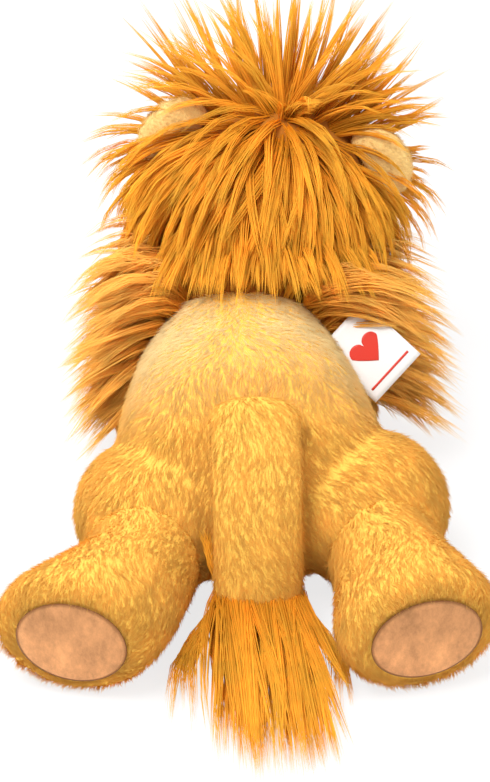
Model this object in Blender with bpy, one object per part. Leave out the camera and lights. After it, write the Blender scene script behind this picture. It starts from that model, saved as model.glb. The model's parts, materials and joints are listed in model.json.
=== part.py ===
# Plush lion that lies on its belly: stuffed body, head with a long mane, four stuffed legs,
# and a flat tail with a hair tuft. It faces -Y, its back is up (+Z) and its left side is +X.
# The origin is where the belly rests on the floor.

import math

import bmesh
import bpy
from mathutils import Matrix, Vector

for old in list(bpy.data.objects):
    bpy.data.objects.remove(old, do_unlink=True)

MM = 0.001
LEFT, RIGHT = 1, -1
X, Y, Z = Vector((1, 0, 0)), Vector((0, 1, 0)), Vector((0, 0, 1))

# Cloth, gaps and floor
plush_wall = 5 * MM  # backing cloth with its pile
seam_gap = 0.3 * MM  # between pieces that are sewn together
swing_gap = 0.8 * MM  # between pieces that move on each other
floor_cut = 0.5 * MM  # how deep a resting form is flattened
floor_size = 700 * MM
overrun = 2 * MM
slit_share = 1 / 3  # of a half size, for the openings that a filling is put in through
crease_angle = math.radians(50)  # smooth shading stops at sharper edges

# Torso
torso_length = 152 * MM  # from the first to the last station, without the rounded ends
torso_neck_y = -76 * MM
torso_half_width = 76 * MM
torso_height = 128 * MM
torso_bend = 4 * MM  # how far the neck end lies off the middle
torso_neck_round = 12 * MM
torso_rump_round = 9 * MM
torso_rump_y = torso_neck_y + torso_length

# Haunches and shoulders are round bulges that the legs turn on
haunch_radius = 49 * MM
haunch_half_height = 42 * MM
haunch_x_left = 52 * MM
haunch_x_right = 61 * MM
haunch_inset = 30 * MM  # from the torso's last station forward to the haunch's centre
haunch_y = torso_rump_y - haunch_inset
shoulder_radius = 32 * MM
shoulder_x = 47 * MM
shoulder_y = -64 * MM

# Hind legs
hind_length = 112 * MM  # from the haunch's centre to the sole
hind_half_width = 45 * MM
hind_half_height = 39.5 * MM
hind_splay_left = math.radians(14)
hind_splay_right = math.radians(12)
foot_out_left = 23.5 * MM  # the foot lies this far outside the hip's line
foot_out_right = 1 * MM
hind_swing = math.radians(15)
sole_width = 59 * MM
sole_height = 51 * MM
sole_thickness = 3 * MM
leg_end_round = 1.5 * MM  # bulge of a leg's flat end

# Front legs
front_length = 138 * MM  # from the shoulder's centre to the paw's end
front_half_width = 30 * MM
front_half_height = 29.5 * MM
front_splay = math.radians(4.5)
front_swing_out = math.radians(12)
front_swing_in = math.radians(5)
pad_width = 38 * MM
pad_height = 33 * MM

# Neck ball and head
neck_centre = Vector((2 * MM, -82 * MM, 94 * MM))
neck_radius = 41 * MM
neck_hole_radius = 15 * MM
nod_up = math.radians(8)
nod_down = math.radians(8)
head_centre = Vector((-16 * MM, -128 * MM, 140 * MM))
head_half_width = 62 * MM
head_half_depth = 60 * MM
head_half_height = 58 * MM
head_lean = math.radians(-9)
head_turn = math.radians(-4)

# Muzzle, nose and chin
muzzle_lobe = Vector((18 * MM, 20 * MM, 16 * MM))
muzzle_lobe_x = 10 * MM
muzzle_y = -53 * MM
muzzle_z = -15 * MM
nose_half = Vector((11 * MM, 8 * MM, 7 * MM))
nose_y = -70 * MM
nose_z = -3 * MM
chin_half = Vector((15 * MM, 13 * MM, 10 * MM))
chin_y = -52 * MM
chin_z = -33 * MM

# Safety eyes
eye_radius = 7 * MM
eye_height = 4.5 * MM
eye_dome_angle = math.radians(72)
eye_x = 23 * MM
eye_z = 12 * MM
shank_radius = 2.2 * MM
shank_length = 14 * MM
washer_radius = 7 * MM
washer_thickness = 1.6 * MM
washer_gap = 1.3 * MM  # behind the plush

# Ears
ear_half = Vector((26 * MM, 8 * MM, 18 * MM))
ear_dish = Vector((18 * MM, 5 * MM, 12 * MM))
ear_angle = math.radians(60)  # from the top of the head
ear_rise = 9 * MM  # from the scalp to the ear's centre
ear_back = math.radians(8)
ear_forward = math.radians(16)

# Mane on the head
crown_half = Vector((93 * MM, 72 * MM, 71 * MM))
crown_offset = Vector((0, 3 * MM, -4 * MM))
crest_half = Vector((87 * MM, 42 * MM, 73 * MM))  # the hair that stands up in front of the whorl
crest_offset = Vector((0, -34 * MM, 38 * MM))
crown_front = -24 * MM  # the face is bare in front of this, in the head's own frame
crown_brow = 40 * MM  # and below this, where the crest hangs over it
crown_bottom = 116 * MM

# Mane on the neck
ruff_reach_left = 104 * MM
ruff_reach_right = 117 * MM
ruff_half_width = 36 * MM
ruff_half_height = 47 * MM
ruff_top = 82 * MM
ruff_y = -88 * MM
ruff_round = 4 * MM
bib_half_width = 19 * MM
bib_half_thickness = 13 * MM
bib_top = 60 * MM
bib_reach = 116 * MM
bib_round = 5 * MM

# Tail and tuft
tail_half_width = 25 * MM
tail_half_thickness = 10 * MM
tail_wall = 3.5 * MM
tail_root_share = 0.885  # of the torso's height
tail_root_inset = 22 * MM  # from the torso's last station forward to the root
tail_tip_outset = 28 * MM  # and back to the tip
tail_root = Vector((0, torso_rump_y - tail_root_inset, torso_height * tail_root_share))
tail_tip = Vector((0, torso_rump_y + tail_tip_outset, 25 * MM))
tail_bulge = 9 * MM  # how far the tail stands out over the rump, against a straight line
tuft_length = 116 * MM
tuft_half_width = 36 * MM
tuft_half_height = 10 * MM
tuft_root_round = 2.5 * MM
tuft_end_round = 11 * MM
tuft_up = math.radians(15)

# Label in the right flank seam
label_width = 38 * MM
label_length = 45 * MM
label_thickness = 0.8 * MM
label_corner = Vector((-67 * MM, -50.6 * MM, 115 * MM))
label_flap = math.radians(8)
label_hinge_share = 0.55  # of its width, from the corner to the middle of the sewn edge
label_length_way = Vector((-0.72, 0.41, -0.56)).normalized()
label_width_way = Vector((0.78, 0.37, -0.51))
label_width_way = (
    label_width_way - label_width_way.dot(label_length_way) * label_length_way
).normalized()

# Pellet bag in the belly
bag_half = Vector((42 * MM, 46 * MM, 20 * MM))
bag_centre = Vector((0, 8 * MM, 30 * MM))

# Faces around and along the forms
torso_segments, limb_segments, inner_segments, trim_segments = 24, 16, 12, 12
ball_segments = 20
cap_angles = [math.radians(a) for a in (30, 55, 76)]

# Shares of the torso's length, half width, height at the bottom and height at the top
torso_shares = (
    (0.00, 0.54, 0.20, 0.89),
    (0.11, 0.70, 0.07, 0.96),
    (0.27, 0.83, 0.00, 0.99),
    (0.47, 0.93, 0.00, 1.00),
    (0.66, 1.00, 0.00, 0.95),
    (0.82, 0.97, 0.00, 0.81),
    (0.92, 0.83, 0.03, 0.65),
    (1.00, 0.56, 0.11, 0.48),
)
# Shares of a leg's length, half width, half height and step outwards
hind_shares = (
    (0.28, 0.72, 0.86, 0.00),
    (0.50, 0.70, 0.90, 0.05),
    (0.70, 0.87, 0.96, 0.45),
    (0.86, 1.00, 1.00, 0.85),
    (0.97, 0.97, 0.96, 1.00),
    (1.00, 0.88, 0.88, 1.00),
)
front_shares = (
    (0.12, 0.86, 0.87, 0.0),
    (0.40, 0.84, 0.86, 0.0),
    (0.70, 0.92, 0.93, 0.0),
    (0.88, 1.00, 1.00, 0.0),
    (0.97, 0.90, 0.90, 0.0),
    (1.00, 0.72, 0.72, 0.0),
)
# Shares of a pad's radius and thickness
pad_shares = ((0.0, 0.0), (0.97, 0.0), (1.0, 0.5), (0.94, 0.9), (0.6, 1.0), (0.0, 1.0))
# Shares of the neck mane's reach, distance behind its middle, middle height, width and height
ruff_shares = (
    (0.36, 0.20, 1.00, 0.75, 0.44),
    (0.55, 0.16, 0.98, 0.92, 0.70),
    (0.75, 0.10, 0.89, 1.00, 0.86),
    (0.88, 0.10, 0.69, 0.96, 1.00),
    (0.96, 0.15, 0.48, 0.80, 0.76),
    (1.00, 0.20, 0.27, 0.50, 0.38),
)
# Shares of the bib's reach, height, width and thickness
bib_shares = (
    (0.66, 1.00, 1.00, 1.00),
    (0.83, 0.93, 0.95, 1.00),
    (0.95, 0.62, 0.78, 0.85),
    (0.99, 0.24, 0.45, 0.45),
)
# Shares of the tuft's length, half width and half height
tuft_shares = (
    (0.00, 0.64, 0.85),
    (0.14, 0.80, 1.05),
    (0.36, 0.97, 0.95),
    (0.66, 1.00, 0.66),
    (0.90, 0.72, 0.42),
)
tuft_fall_shares = (1.0, 0.42, 0.0, 0.0, 0.0)  # of the tail end's height over the floor
tail_bulge_shares = (0.0, 0.75, 1.0, 0.7, 0.0)


def material(name, colour, roughness):
    """A plain finish in one colour."""
    finish = bpy.data.materials.new(name)
    finish.use_nodes = True
    shader = finish.node_tree.nodes["Principled BSDF"]
    shader.inputs["Base Color"].default_value = (*colour, 1)
    shader.inputs["Roughness"].default_value = roughness
    shader.inputs["Metallic"].default_value = 0
    return finish


def golden_plush(name):
    return material(name + "_plush", (0.78, 0.50, 0.19), 0.95)


def amber_hair(name):
    return material(name + "_hair", (0.72, 0.36, 0.05), 0.9)


def tan_velour(name):
    return material(name + "_velour", (0.52, 0.29, 0.14), 0.85)


def white_filling(name):
    return material(name + "_filling", (0.9, 0.9, 0.88), 0.95)


def mesh_object(name, shape, pivot=None):
    """Wraps a bmesh, drawn in world places, in an object whose origin is the pivot."""
    pivot = pivot or Vector((0, 0, 0))
    bmesh.ops.recalc_face_normals(shape, faces=shape.faces)
    bmesh.ops.translate(shape, verts=shape.verts, vec=-pivot)
    mesh = bpy.data.meshes.new(name)
    shape.to_mesh(mesh)
    shape.free()
    thing = bpy.data.objects.new(name, mesh)
    thing.location = pivot
    bpy.context.scene.collection.objects.link(thing)
    return thing


def piece(name, shape, finish, pivot=None, smooth=True):
    """One sub-part of the toy."""
    thing = mesh_object(name, shape, pivot)
    thing.data.materials.append(finish(name))
    if smooth:
        thing.data.shade_smooth()
        thing.data.set_sharp_from_angle(angle=crease_angle)
    return thing


def tool(name, shape, turn=None):
    """A cutter or a filler for a Boolean, turned if asked."""
    if turn:
        bmesh.ops.transform(shape, matrix=turn, verts=shape.verts)
    thing = mesh_object(name, shape)
    thing.hide_render = True
    thing.display_type = "WIRE"
    return thing


def combine(target, other, operation):
    change = target.modifiers.new(operation.lower() + "_" + other.name, "BOOLEAN")
    change.operation = operation
    change.solver = "EXACT"
    change.object = other


def cut(target, other):
    combine(target, other, "DIFFERENCE")


def fuse(target, other):
    combine(target, other, "UNION")


def about(pivot, axis, angle):
    """Turns the world by an angle about an axis through a pivot."""
    return Matrix.Translation(pivot) @ Matrix.Rotation(angle, 4, axis) @ Matrix.Translation(-pivot)


def steps_between(low, high, count):
    return [low + (high - low) * i / (count - 1) for i in range(count)]


def eased(stations, steps):
    """Stations on a smooth curve through the given ones."""
    path = []
    for i in range(len(stations) - 1):
        before, here = stations[max(i - 1, 0)], stations[i]
        there, after = stations[i + 1], stations[min(i + 2, len(stations) - 1)]
        for k in range(steps):
            t = k / steps
            path.append(
                0.5 * (
                    2 * here
                    + (there - before) * t
                    + (2 * before - 5 * here + 4 * there - after) * t ** 2
                    + (3 * here - before - 3 * there + after) * t ** 3
                )
            )
    path.append(stations[-1])
    return path


def stuffed(stations, side, rounds, grow=0, segments=limb_segments, steps=1, facing=None):
    """A stuffed tube through stations of centre, half width and half height.

    The half width lies along side. The ends are rounded by the two lengths in rounds.
    The sections stand square to the tube, or square to facing where that is given.
    """
    rows = eased([Vector((*centre, wide, high)) for centre, wide, high in stations], steps)
    centres = [Vector(row[:3]) for row in rows]
    halves = [(row[3] + grow, row[4] + grow) for row in rows]
    count = len(rows)
    tangents = [
        facing or (centres[min(i + 1, count - 1)] - centres[max(i - 1, 0)]).normalized()
        for i in range(count)
    ]
    shape = bmesh.new()

    def ring(centre, tangent, wide, high):
        across = (side - side.dot(tangent) * tangent).normalized()
        lift = tangent.cross(across)
        return [
            shape.verts.new(
                centre
                + across * wide * math.cos(2 * math.pi * k / segments)
                + lift * high * math.sin(2 * math.pi * k / segments)
            )
            for k in range(segments)
        ]

    def cap(index, outward, length):
        wide, high = halves[index]
        rings = [
            ring(
                centres[index] + outward * length * math.sin(a),
                tangents[index], wide * math.cos(a), high * math.cos(a),
            )
            for a in cap_angles
        ]
        return rings, shape.verts.new(centres[index] + outward * length)

    first, first_pole = cap(0, -tangents[0], rounds[0])
    last, last_pole = cap(count - 1, tangents[-1], rounds[1])
    middle = [ring(centres[i], tangents[i], *halves[i]) for i in range(count)]
    rings = first[::-1] + middle + last
    for one, two in zip(rings, rings[1:]):
        for k in range(segments):
            n = (k + 1) % segments
            shape.faces.new((one[k], one[n], two[n]))
            shape.faces.new((one[k], two[n], two[k]))
    for pole, row in ((first_pole, rings[0]), (last_pole, rings[-1])):
        for k in range(segments):
            shape.faces.new((pole, row[k], row[(k + 1) % segments]))
    return shape


def ball(centre, halves, grow=0, pole=Z, frame=None, segments=limb_segments):
    """A ball or an egg whose poles lie along pole, placed in the world or in a frame."""
    shape = bmesh.new()
    bmesh.ops.create_uvsphere(shape, u_segments=segments, v_segments=segments // 2, radius=1)
    turn = Z.rotation_difference(pole).to_matrix().to_4x4()
    size = Matrix.Diagonal((halves[0] + grow, halves[1] + grow, halves[2] + grow, 1))
    place = Matrix.Translation(centre) @ size @ turn
    bmesh.ops.transform(shape, matrix=(frame or Matrix()) @ place, verts=shape.verts)
    return shape


def block(low, high, frame=None):
    """A box between two corners."""
    shape = bmesh.new()
    bmesh.ops.create_cube(shape, size=1)
    size = Matrix.Diagonal((*(high - low), 1))
    place = Matrix.Translation((low + high) / 2) @ size
    bmesh.ops.transform(shape, matrix=(frame or Matrix()) @ place, verts=shape.verts)
    return shape


def turned(profile, frame, segments=trim_segments):
    """Spins a profile of (radius, height) points about the frame's Z axis."""
    shape = bmesh.new()
    rows = []
    for radius, height in profile:
        if radius == 0:
            rows.append([shape.verts.new((0, 0, height))])
            continue
        rows.append([
            shape.verts.new((
                radius * math.cos(2 * math.pi * k / segments),
                radius * math.sin(2 * math.pi * k / segments),
                height,
            ))
            for k in range(segments)
        ])
    closed = len(rows[0]) > 1 and len(rows[-1]) > 1
    pairs = list(zip(rows, rows[1:])) + ([(rows[-1], rows[0])] if closed else [])
    for one, two in pairs:
        for k in range(segments):
            n = (k + 1) % segments
            if len(one) == 1:
                shape.faces.new((one[0], two[n], two[k]))
            elif len(two) == 1:
                shape.faces.new((one[k], one[n], two[0]))
            else:
                shape.faces.new((one[k], one[n], two[n], two[k]))
    bmesh.ops.transform(shape, matrix=frame, verts=shape.verts)
    return shape


def side_name(side):
    return "left" if side == LEFT else "right"


# Floor under the toy, which flattens what rests on it
floor = tool("floor_cutter", block(
    Vector((-floor_size, -floor_size, -floor_size)), Vector((floor_size, floor_size, 0))
))


# Torso: the body with its haunches and shoulders, sewn from one plush and open at the neck
def torso_form(grow=0, segments=torso_segments):
    stations = []
    for along, wide, low, high in torso_shares:
        bottom = low * torso_height - floor_cut
        top = high * torso_height
        bend = torso_bend * (1 - along)
        centre = Vector((bend, torso_neck_y + along * torso_length, (bottom + top) / 2))
        stations.append((centre, wide * torso_half_width, (top - bottom) / 2))
    ends = (torso_neck_round + grow, torso_rump_round + grow)
    return stuffed(stations, X, ends, grow, segments, facing=Y)


def haunch_centre(side):
    out = haunch_x_left if side == LEFT else haunch_x_right
    return Vector((side * out, haunch_y, haunch_half_height - floor_cut))


def shoulder_centre(side):
    return Vector((side * shoulder_x, shoulder_y, shoulder_radius - floor_cut))


def haunch_form(side, grow=0, segments=ball_segments):
    halves = (haunch_radius, haunch_radius, haunch_half_height)
    return ball(haunch_centre(side), halves, grow, segments=segments)


def shoulder_form(side, grow=0, segments=limb_segments):
    return ball(shoulder_centre(side), [shoulder_radius] * 3, grow, segments=segments)


def neck_form(grow=0, segments=ball_segments):
    return ball(neck_centre, [neck_radius] * 3, grow, pole=X, segments=segments)


torso_cover = piece("torso_cover", torso_form(), golden_plush)
for side in (LEFT, RIGHT):
    fuse(torso_cover, tool("haunch_form_" + side_name(side), haunch_form(side)))
    fuse(torso_cover, tool("shoulder_form_" + side_name(side), shoulder_form(side)))
cut(torso_cover, floor)


def tail_tip_form(grow=0):
    return ball(
        tail_tip, (tail_half_width, tail_half_thickness, tail_half_thickness), grow, pole=X
    )


torso_inside = tool("torso_inside", torso_form(-plush_wall, inner_segments))
for side in (LEFT, RIGHT):
    fuse(torso_inside, tool(
        "haunch_inside_" + side_name(side), haunch_form(side, -plush_wall, inner_segments)
    ))
cut(torso_cover, torso_inside)
neck_socket = tool("neck_socket", neck_form(swing_gap))
cut(torso_cover, neck_socket)

# Torso filling: one cushion of fibre, hollowed for the bag of pellets that weighs the belly down
torso_stuffing = piece(
    "torso_stuffing",
    torso_form(-plush_wall - seam_gap, inner_segments),
    white_filling,
)
for side in (LEFT, RIGHT):
    fuse(torso_stuffing, tool(
        "haunch_filling_" + side_name(side),
        haunch_form(side, -plush_wall - seam_gap, inner_segments),
    ))
cut(torso_stuffing, neck_socket)
bag_mouth = bag_half.x * slit_share
cut(torso_stuffing, tool(
    "bag_hollow", ball(bag_centre, bag_half, seam_gap, segments=inner_segments)
))
cut(torso_stuffing, tool("bag_slit", block(
    bag_centre - Vector((bag_mouth, bag_mouth, bag_centre.z)),
    bag_centre + Vector((bag_mouth, bag_mouth, 0)),
)))
piece(
    "pellet_bag",
    ball(bag_centre, bag_half, segments=inner_segments),
    lambda name: material(name + "_cloth", (0.75, 0.74, 0.70), 0.8),
)


# Hind legs: open sleeves sewn round the haunches, filled, with a velour sole each
def leg_form(centre, along, step, length, halves, shares, grow=0, segments=limb_segments):
    stations = []
    for far, wide, high, out in shares:
        half_height = high * halves[1]
        place = centre + along * far * (length + grow) + step * out
        place.z = halves[1] - floor_cut
        stations.append((place, wide * halves[0], half_height))
    ends = (leg_end_round, leg_end_round)
    return stuffed(stations, along.cross(Z), ends, grow, segments, facing=along)


def hind_along(side):
    splay = hind_splay_left if side == LEFT else hind_splay_right
    return Vector((side * math.sin(splay), math.cos(splay), 0))


def hind_step(side):
    """How far the foot is set outwards from the hip's own line."""
    out = foot_out_left if side == LEFT else foot_out_right
    return hind_along(side).cross(Z) * side * out


def hind_form(side, grow=0, segments=limb_segments):
    return leg_form(
        haunch_centre(side), hind_along(side), hind_step(side), hind_length,
        (hind_half_width, hind_half_height), hind_shares, grow, segments,
    )


def front_along(side):
    return Vector((side * math.sin(front_splay), -math.cos(front_splay), 0))


def front_form(side, grow=0, segments=limb_segments):
    return leg_form(
        shoulder_centre(side), front_along(side), Vector((0, 0, 0)), front_length,
        (front_half_width, front_half_height), front_shares, grow, segments,
    )


def pad(name, centre, along, width, height, pivot):
    """A velour pad sewn on the end of a leg."""
    start = centre + along * (leg_end_round + seam_gap)
    axes = Matrix((Z.cross(along), Z, along)).transposed().to_4x4()
    size = Matrix.Diagonal((width / 2, height / 2, sole_thickness, 1))
    shape = turned(pad_shares, Matrix.Translation(start) @ axes @ size, limb_segments)
    return piece(name, shape, tan_velour, pivot)


def leg_end(centre, along, length, height):
    end = centre + along * length
    end.z = height
    return end


def make_leg(name, form, inside, pivot, socket, body_sweep):
    """A leg's plush sleeve and its filling, both cut by the ball that the leg turns on."""
    cover = piece(name + "_cover", form(0), golden_plush, pivot)
    filling = piece(name + "_stuffing", inside(-plush_wall - seam_gap), white_filling, pivot)
    hollow = tool(name + "_hollow", inside(-plush_wall))
    cut(cover, hollow)
    for thing in (cover, filling):
        cut(thing, socket)
        for blade in body_sweep:
            cut(thing, blade)
        cut(thing, floor)
    return cover


for side in (LEFT, RIGHT):
    word = side_name(side)
    hip = haunch_centre(side)
    socket = tool("haunch_socket_" + word, haunch_form(side, swing_gap))
    rump = [
        tool("rump_%s_%d" % (word, i), torso_form(swing_gap), about(hip, Z, side * angle))
        for i, angle in enumerate(steps_between(0, hind_swing, 3))
    ]
    make_leg(
        "hind_leg_" + word,
        lambda grow: hind_form(side, grow),
        lambda grow: hind_form(side, grow, inner_segments),
        hip, socket, rump,
    )
    pad(
        "hind_sole_" + word,
        leg_end(hip + hind_step(side), hind_along(side), hind_length, hind_half_height - floor_cut),
        hind_along(side), sole_width, sole_height, hip,
    )

# Front legs: the same make, stretched forward under the head
for side in (LEFT, RIGHT):
    word = side_name(side)
    shoulder = shoulder_centre(side)
    socket = tool("shoulder_socket_" + word, shoulder_form(side, swing_gap))
    chest = [
        tool("chest_%s_%d" % (word, i), torso_form(swing_gap), about(shoulder, Z, -side * angle))
        for i, angle in enumerate(steps_between(-front_swing_in, front_swing_out, 4))
    ]
    make_leg(
        "front_leg_" + word,
        lambda grow: front_form(side, grow),
        lambda grow: front_form(side, grow, inner_segments),
        shoulder, socket, chest,
    )
    pad(
        "front_pad_" + word,
        leg_end(shoulder, front_along(side), front_length, front_half_height - floor_cut),
        front_along(side), pad_width, pad_height, shoulder,
    )

# Head: a stuffed egg on a neck ball that nods in the torso's neck opening
head_frame = (
    Matrix.Translation(head_centre)
    @ Matrix.Rotation(head_turn, 4, "Z")
    @ Matrix.Rotation(head_lean, 4, "Y")
)
head_halves = (head_half_width, head_half_depth, head_half_height)
nods = steps_between(-nod_up, nod_down, 3)


def head_form(grow=0, segments=torso_segments):
    return ball(Vector((0, 0, 0)), head_halves, grow, frame=head_frame, segments=segments)


def on_face(x, z):
    """A frame on the head's surface at a place on the face, with its Z axis pointing out."""
    a, b, c = head_halves
    y = -b * math.sqrt(1 - (x / a) ** 2 - (z / c) ** 2)
    normal = Vector((x / a ** 2, y / b ** 2, z / c ** 2)).normalized()
    turn = Z.rotation_difference(normal).to_matrix().to_4x4()
    return head_frame @ Matrix.Translation((x, y, z)) @ turn


head_cover = piece("head_cover", head_form(), golden_plush, neck_centre)
fuse(head_cover, tool("neck_ball", neck_form()))
head_inside = tool("head_inside", head_form(-plush_wall, inner_segments))
fuse(head_inside, tool("neck_inside", neck_form(-plush_wall, inner_segments)))
neck_hole_frame = Matrix.Translation(neck_centre) @ Y.to_track_quat("Z", "Y").to_matrix().to_4x4()
fuse(head_inside, tool("neck_hole", turned(
    (
        (0, 0), (neck_hole_radius, 0),
        (neck_hole_radius, neck_radius + overrun), (0, neck_radius + overrun),
    ),
    neck_hole_frame,
)))
cut(head_cover, head_inside)

head_stuffing = piece(
    "head_stuffing", head_form(-plush_wall - seam_gap, inner_segments), white_filling, neck_centre
)
fuse(head_stuffing, tool("neck_filling", neck_form(-plush_wall - seam_gap, inner_segments)))


# Safety eyes: a domed plastic eye with a shank through the plush, held by a washer inside
def eye_profile():
    dome = [
        (eye_radius * math.cos(a), seam_gap + eye_height * math.sin(a))
        for a in steps_between(0, eye_dome_angle, 5)
    ]
    return (
        [(0, -shank_length), (shank_radius, -shank_length), (shank_radius, seam_gap)]
        + dome + [(0, seam_gap + eye_height)]
    )


washer_depth = plush_wall + washer_gap
for side in (LEFT, RIGHT):
    word = side_name(side)
    frame = on_face(side * eye_x, eye_z)
    piece(
        "eye_" + word, turned(eye_profile(), frame),
        lambda name: material(name + "_gloss", (0.02, 0.012, 0.008), 0.15), neck_centre,
    )
    bore = shank_radius + seam_gap
    piece(
        "eye_washer_" + word,
        turned((
            (bore, -washer_depth - washer_thickness),
            (washer_radius, -washer_depth - washer_thickness),
            (washer_radius, -washer_depth),
            (bore, -washer_depth),
        ), frame),
        lambda name: material(name + "_plastic", (0.85, 0.85, 0.82), 0.5), neck_centre,
    )
    pocket = washer_radius + seam_gap
    pocket_floor = -shank_length - seam_gap
    ledge = seam_gap - washer_depth
    fuse(head_inside, tool("eye_hole_" + word, turned((
        (0, pocket_floor), (pocket, pocket_floor), (pocket, ledge),
        (bore, ledge), (bore, overrun), (0, overrun),
    ), frame)))
    cut(head_stuffing, tool("washer_pocket_" + word, turned(
        ((0, pocket_floor), (pocket, pocket_floor), (pocket, overrun), (0, overrun)), frame
    )))


# Muzzle of two puffs, chin and stitched nose
def muzzle_form(side, grow=0):
    centre = Vector((side * muzzle_lobe_x, muzzle_y, muzzle_z))
    return ball(centre, muzzle_lobe, grow, pole=Y, frame=head_frame)


muzzle = piece("muzzle", muzzle_form(LEFT), golden_plush, neck_centre)
fuse(muzzle, tool("muzzle_puff", muzzle_form(RIGHT)))
head_seat = tool("head_seat", head_form(seam_gap))
cut(muzzle, head_seat)
muzzle_seats = [
    tool("muzzle_seat_" + side_name(side), muzzle_form(side, seam_gap)) for side in (LEFT, RIGHT)
]
nose = piece(
    "nose",
    ball(Vector((0, nose_y, nose_z)), nose_half, frame=head_frame, segments=trim_segments),
    lambda name: material(name + "_thread", (0.12, 0.05, 0.03), 0.6), neck_centre,
)
chin = piece(
    "chin",
    ball(Vector((0, chin_y, chin_z)), chin_half, pole=X, frame=head_frame, segments=trim_segments),
    golden_plush, neck_centre,
)
for thing in (nose, chin):
    cut(thing, head_seat)
    for seat in muzzle_seats:
        cut(thing, seat)


# Ears: dished plush discs that fold about their seam on the scalp
def ear_frame(side):
    """The ear's own frame: X along the scalp seam, Z away from the head."""
    a, c = head_half_width, head_half_height
    scalp = Vector((side * a * math.sin(ear_angle), 0, c * math.cos(ear_angle)))
    out = Vector((scalp.x / a ** 2, 0, scalp.z / c ** 2)).normalized()
    along = Y.cross(out)
    axes = Matrix((along, Y, out)).transposed().to_4x4()
    return head_frame @ Matrix.Translation(scalp) @ axes


def ear_form(side, grow=0):
    centre = Vector((0, 0, ear_rise))
    return ball(centre, ear_half, grow, frame=ear_frame(side), segments=trim_segments)


for side in (LEFT, RIGHT):
    word = side_name(side)
    frame = ear_frame(side)
    seam = frame.to_translation()
    seam_axis = frame.to_3x3() @ X
    ear = piece("ear_" + word, ear_form(side), golden_plush, seam)
    cut(ear, tool("ear_dish_" + word, ball(
        Vector((0, -ear_half.y, ear_rise + overrun)), ear_dish, frame=frame, segments=trim_segments
    )))
    for i, angle in enumerate((ear_forward, -ear_back)):
        cut(ear, tool(
            "scalp_%s_%d" % (word, i), head_form(swing_gap), about(seam, seam_axis, -angle)
        ))


# Mane on the head: long hair from the forehead over the crown to the nape
def label_form():
    face_way = label_width_way.cross(label_length_way)
    axes = Matrix((label_length_way, label_width_way, face_way)).transposed().to_4x4()
    frame = Matrix.Translation(label_corner) @ axes
    half = Vector((0, 0, label_thickness / 2))
    return block(-half, Vector((label_length, label_width, 0)) + half, frame)


mane_crown = piece(
    "mane_crown",
    ball(crown_offset, crown_half, frame=head_frame, segments=torso_segments),
    amber_hair, neck_centre,
)
fuse(mane_crown, tool("crest", ball(
    crest_offset, crest_half, frame=head_frame, segments=torso_segments
)))
cut(mane_crown, tool("crown_front", block(
    Vector((-floor_size, -floor_size, -floor_size)), Vector((floor_size, crown_front, crown_brow)),
    head_frame,
)))
cut(mane_crown, tool("crown_base", block(
    Vector((-floor_size, -floor_size, 0)), Vector((floor_size, floor_size, crown_bottom))
)))
cut(mane_crown, head_seat)
cut(mane_crown, tool("neck_seat", neck_form(seam_gap)))
for i, angle in enumerate(nods):
    cut(mane_crown, tool("back_%d" % i, torso_form(swing_gap), about(neck_centre, X, -angle)))
ear_top = ear_rise + ear_half.z
ear_room_back = ear_half.y + ear_top * math.sin(ear_back) + swing_gap
for side in (LEFT, RIGHT):
    cut(mane_crown, tool("ear_room_" + side_name(side), block(
        Vector((-ear_half.x - swing_gap, -head_half_depth, -ear_half.z)),
        Vector((ear_half.x + swing_gap, ear_room_back, ear_top + swing_gap)),
        ear_frame(side),
    )))


# Mane on the neck: two full sides that reach the floor and a bib between the front legs
def ruff_form(side):
    reach = ruff_reach_left if side == LEFT else ruff_reach_right
    stations = [
        (
            Vector((side * out * reach, ruff_y + back * ruff_half_width, high * ruff_top)),
            wide * ruff_half_width, tall * ruff_half_height,
        )
        for out, back, high, wide, tall in ruff_shares
    ]
    return stuffed(stations, Y, (ruff_round, ruff_round), steps=2, facing=side * X)


def bib_form():
    stations = [
        (
            Vector((0, -share * bib_reach, high * bib_top)),
            wide * bib_half_width, thick * bib_half_thickness,
        )
        for share, high, wide, thick in bib_shares
    ]
    return stuffed(stations, X, (bib_round, bib_round), 0, trim_segments)


def clear_of_body(thing, sides, neck_room):
    """Cuts a neck mane piece by the torso, the shoulders, the front legs and the neck ball."""
    cut(thing, torso_seat)
    cut(thing, neck_room)
    for side in sides:
        word = thing.name + "_" + side_name(side)
        cut(thing, tool("shoulder_seat_" + word, shoulder_form(side, seam_gap)))
        for i, angle in enumerate(steps_between(-front_swing_in, front_swing_out, 4)):
            cut(thing, tool(
                "leg_room_%s_%d" % (word, i), front_form(side, swing_gap),
                about(shoulder_centre(side), Z, side * angle),
            ))
    cut(thing, floor)


torso_seat = tool("torso_seat", torso_form(seam_gap))
neck_room = tool("neck_room", neck_form(swing_gap))
for side in (LEFT, RIGHT):
    ruff = piece("ruff_" + side_name(side), ruff_form(side), amber_hair)
    clear_of_body(ruff, (side,), neck_room)
    for i, angle in enumerate(nods):
        nod = about(neck_centre, X, -angle)
        word = "%s_%d" % (side_name(side), i)
        cut(ruff, tool("head_room_" + word, head_form(swing_gap), nod))
        cut(ruff, tool("crown_room_" + word, block(
            Vector((-floor_size, -floor_size, crown_bottom - swing_gap)),
            Vector((floor_size, floor_size, floor_size)),
        ), nod))
bib = piece("ruff_bib", bib_form(), amber_hair)
clear_of_body(bib, (LEFT, RIGHT), neck_room)


# Tail: a flat filled tube sewn on the rump, with a hair tuft at its end
def tail_stations():
    outward = X.cross((tail_tip - tail_root).normalized())
    last = len(tail_bulge_shares) - 1
    return [
        (
            tail_root.lerp(tail_tip, i / last) + outward * tail_bulge * bulge,
            tail_half_width, tail_half_thickness,
        )
        for i, bulge in enumerate(tail_bulge_shares)
    ]


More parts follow.
